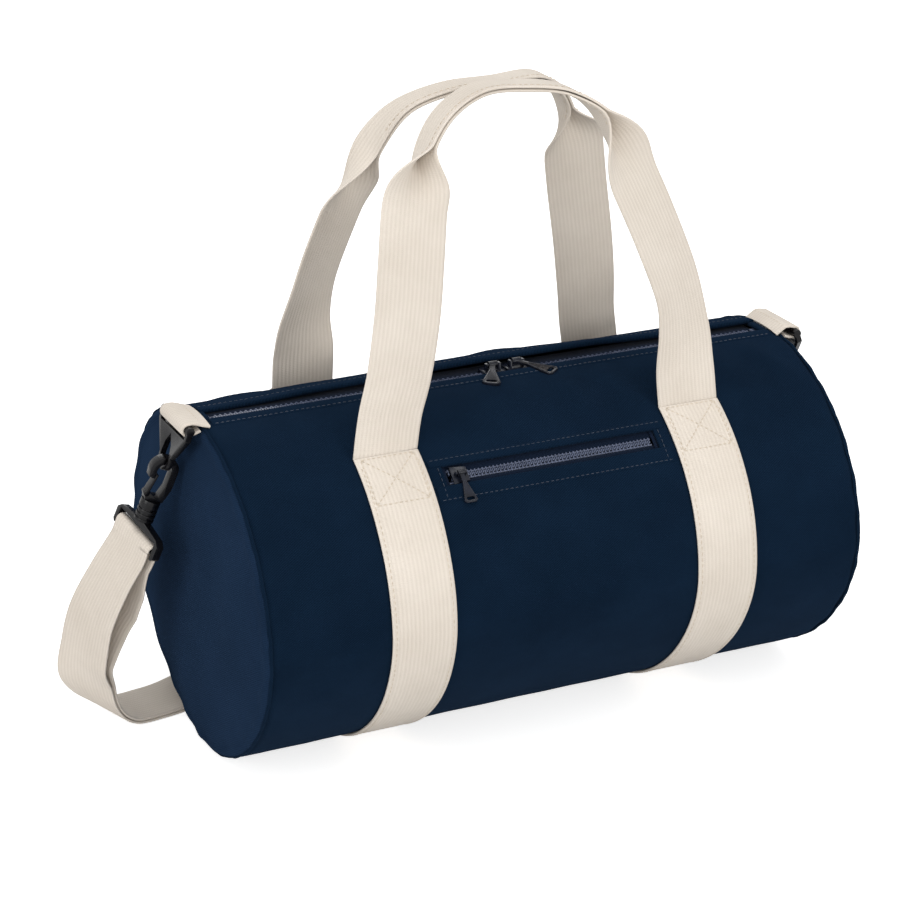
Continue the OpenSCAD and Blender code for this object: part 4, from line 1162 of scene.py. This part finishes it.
def flip(points):
    return [p * [-1, 1, 1] for p in points]


SLOT_RUN, BAR_W, FRAME_T = WEB_T * 5.2, WEB_T * 1.7, WEB_T * 1.5
FRAME_Z = STACK * 2 + GAP
OVER_BAR = FRAME_Z + FRAME_T + GAP + WEB_T / 2


def by_bar(bars, slots, z):
    """A place beside the adjuster's middle: so many bar widths and slot lengths along, at height z."""
    return np.array([ADJUSTER[0] + bars * BAR_W + slots * SLOT_RUN, ADJUSTER[1], z])


HUNG_FACING = (0.37, 0.93)


def places(points):
    """Middle, direction across and facing direction of the strap along a smooth line."""
    route = spline(points, 8)
    t = tangents(route)
    route[:, 2] = np.maximum(route[:, 2], LAY)
    end = np.sign(route[:, 0])
    k = ease(route[:, 2], BAR_HEIGHT * 0.4, BAR_HEIGHT * 0.98)[:, None]
    axis = columns(BAR_AXIS[0] * end, *BAR_AXIS[1:])
    hung = across_of(columns(end * HUNG_FACING[0], HUNG_FACING[1], 0) * (1 - k) + axis * k, t)
    flat = unit(columns(-t[:, 1], t[:, 0], 0))
    flat *= np.where((flat * hung).sum(-1) < 0, -1, 1)[:, None]
    m = ease(route[:, 2], BAR_HEIGHT * 0.03, BAR_HEIGHT * 0.4)[:, None]
    across = across_of(hung * m + flat * (1 - m), t)
    return np.stack([route, across, np.cross(t, across)], 1)


def strap_places():
    """The whole strap: sewn end, up to the left base, back beside itself, on to the right base."""
    up = on_floor(LAY)[::-1] + bight(BIGHT)[::-1] + [beside_bar(1, 3), beside_bar(1, 1)]
    turn = [bar_turn(a) for a in range(0, 181, 15)]
    sewn_end = [
        by_bar(0.5, 0, OVER_BAR), by_bar(-0.5, 0, OVER_BAR), by_bar(-0.5, -0.3, FRAME_Z + FRAME_T / 2),
        by_bar(-0.5, -0.62, LAY + STACK * 0.6), by_bar(-1.5, -1.1, LAY),
    ]
    through = [
        by_bar(-1.5, -1.2, LAY + STACK), by_bar(-0.5, -0.9, LAY + STACK * 1.35),
        by_bar(-0.5, -0.5, FRAME_Z + FRAME_T), by_bar(-0.5, 0, OVER_BAR + STACK * 1.05),
        by_bar(0.5, 0, OVER_BAR + STACK * 1.05),
        by_bar(0.5, 0.4, FRAME_Z + FRAME_T / 2), by_bar(0.5, 0.8, LAY + STACK * 0.4),
        by_bar(1.5, 1.2, LAY), by_bar(0, 2.6, LAY), by_bar(0, 4.5, LAY),
    ]
    left = flip(up)
    start = places(sewn_end + [left[0]])
    laid = places([sewn_end[4]] + left)[8:]
    room = STACK + WEB_T * np.interp(laid[:, 0, 2] / BAR_HEIGHT, *SLACK.T)
    home = np.stack([laid[:, 0] - laid[:, 2] * room[:, None], laid[:, 1], -laid[:, 2]], 1)[::-1]
    over = places(flip(turn))
    on = places(through + up + turn + [beside_bar(-1, 1)])
    return np.concatenate([start[:-1], laid, over[4:-4], home, on])


SWIVEL_RUN = 26.0
RUN_X = HALF_LEN * 0.62


def strap_zone(p):
    """Which part of the strap a place belongs to: the middle, a hanging run or the turn round a base bar."""
    if abs(p[0]) < RUN_X:
        return "middle"
    return ("left" if p[0] < 0 else "right") + ("_turn" if p[2] > BAR_HEIGHT - SWIVEL_RUN else "_run")


def strap_piece(name, zone, laid, start):
    """One length of the strap: the middle on the root body, and each run or turn on no body, with its place
    baked into its mesh.
    """
    body = "root" if zone == "middle" else None
    obj = strap_along(name, laid[:, 0], laid[:, 1], laid[:, 2], body, wobble=0.0, seed=9.0, start=start)
    if zone != "middle":
        side, kind = zone.split("_")
        if kind == "turn":
            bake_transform(obj)
        else:
            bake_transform(obj)
    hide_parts("shoulder_strap")
    return start + float(run_length(laid[:, 0])[-1])


strap = strap_places()
zones = [strap_zone(p) for p in strap[:, 0]]
cuts = [0] + [i for i in range(1, len(zones)) if zones[i] != zones[i - 1]] + [len(zones) - 1]
strap_length = 0.0
for number, (first, last) in enumerate(zip(cuts, cuts[1:]), 1):
    name, laid = "strap_webbing_" + str(number), strap[first:last + 1]
    strap_length = strap_piece(name, zones[first], laid, strap_length)


# Raised rims of the pull plates
PULL_LEN, PULL_END_W, PULL_ROOT_W = 25.0, 10.5, (4.6 - 1.5 - 0.4) * 1.3
PULL_CORNER = PULL_END_W * 0.16
# The ridge: how far in from the edge, its half width, its middle above the plate and half its height
RIM_IN, RIM_W, RIM_Z, RIM_H = 0.55, 0.45, 0.66, 0.3


def pull_rim(name, yaw, droop, body, hinge, tilt=0.0, scale=1.0):
    """A raised edge round both faces of the plate of a zip pull, which hangs from its hinge."""
    half, root = PULL_END_W / 2, PULL_ROOT_W * 0.42
    corners = np.array([
        (-root, -PULL_LEN * 0.3), (-half, PULL_CORNER - PULL_LEN), (PULL_CORNER - half, -PULL_LEN),
        (half - PULL_CORNER, -PULL_LEN), (half, PULL_CORNER - PULL_LEN), (root, -PULL_LEN * 0.3),
    ])
    line = picked(np.linspace(0, 5, 26), np.arange(6), corners)
    ahead = unit(np.gradient(line, axis=0))
    inward = columns(-ahead[:, 1], ahead[:, 0])[:, None]
    turn = around(8)
    flat = line[:, None] + inward * (RIM_IN + np.cos(turn)[:, None] * RIM_W)
    for face, word in ((1, "upper"), (-1, "lower")):
        x, y = rotated(flat[..., 0], flat[..., 1], math.radians(yaw))
        y, z = rotated(y, face * (RIM_Z + np.sin(turn) * RIM_H), math.radians(droop))
        y, z = rotated(y, z, tilt)
        sweep(name + "_rim_" + word, columns(x, y, z) * scale + hinge, flat, METAL, body)


BAIL = TOOTH_H / 2 + SLIDER_FLOOR + 1.9 + 1.4
pull_rim("left_pull", -27, 8, "left_pull", (-0.5, 0, ZIP_Z + BAIL))
pull_rim("right_pull", 38, 8, "right_pull", (14.5, 0, ZIP_Z + BAIL))
pocket_hinge = pocket_frame(np.array([[POCKET_SLIDER_X, 0, BAIL * SMALL]]))[0]
pull_rim("pocket_pull", 0, 1, "pocket_pull", pocket_hinge, TILT, SMALL)


# Floor, light, background. The camera sees a white floor, and the world lights the bag at half strength
def white_floor():
    mesh = bpy.data.meshes.new("floor")
    mesh.from_pydata([(-6, -6, 0), (6, -6, 0), (6, 6, 0), (-6, 6, 0)], [], [(0, 1, 2, 3)])
    floor = add("floor", mesh)
    floor.location.z = -0.0002
    mat, tree, shader = start_material("floor_paper", Roughness=0.9, Specular_IOR_Level=0.1)
    mesh.materials.append(mat)
    shader.inputs["Base Color"].default_value = (0.8, 0.8, 0.8, 1)
    shader.inputs["Emission Color"].default_value = (1, 1, 1, 1)
    seen = put(tree, "ShaderNodeLightPath").outputs["Is Camera Ray"]
    tree.links.new(calc(tree, "MULTIPLY", seen, 0.7), shader.inputs["Emission Strength"])


def white_world():
    world = bpy.data.worlds.new("world")
    bpy.context.scene.world = world
    world.use_nodes = True
    tree = world.node_tree
    rays = put(tree, "ShaderNodeLightPath").outputs
    seen = calc(tree, "MAXIMUM", rays["Is Camera Ray"], rays["Is Glossy Ray"])
    seen = calc(tree, "MAXIMUM", seen, rays["Is Transmission Ray"])
    back = tree.nodes["Background"]
    back.inputs["Color"].default_value = (1, 1, 1, 1)
    tree.links.new(span(tree, seen, 0, 1, 0.5, 1.0), back.inputs["Strength"])


def lamp(name, at, target, size, power):
    light = bpy.data.lights.new(name, "AREA")
    light.shape, light.size, light.energy = "DISK", size, power
    obj = add(name, light)
    obj.location = at
    aim(obj, target)


white_floor()
white_world()
lamp("key", (-0.7, -1.5, 2.3), (0, 0, 0.12), 1.5, 5)
lamp("top", (0.2, 0.0, 2.6), (0, 0, 0.15), 1.8, 24)
lamp("side", (-2.6, -0.7, 1.0), (-0.1, 0, 0.15), 1.6, 20)
lamp("front_left", (-1.75, -2.95, 1.05), (0, 0, 0.22), 2.4, 26)
lamp("front_right", (1.4, -3.05, 0.95), (0, 0, 0.25), 2.4, 40)
lamp("back", (0.6, 3.0, 1.4), (0, 0, 0.2), 2.0, 16)
bpy.context.scene.view_settings.view_transform = "Standard"
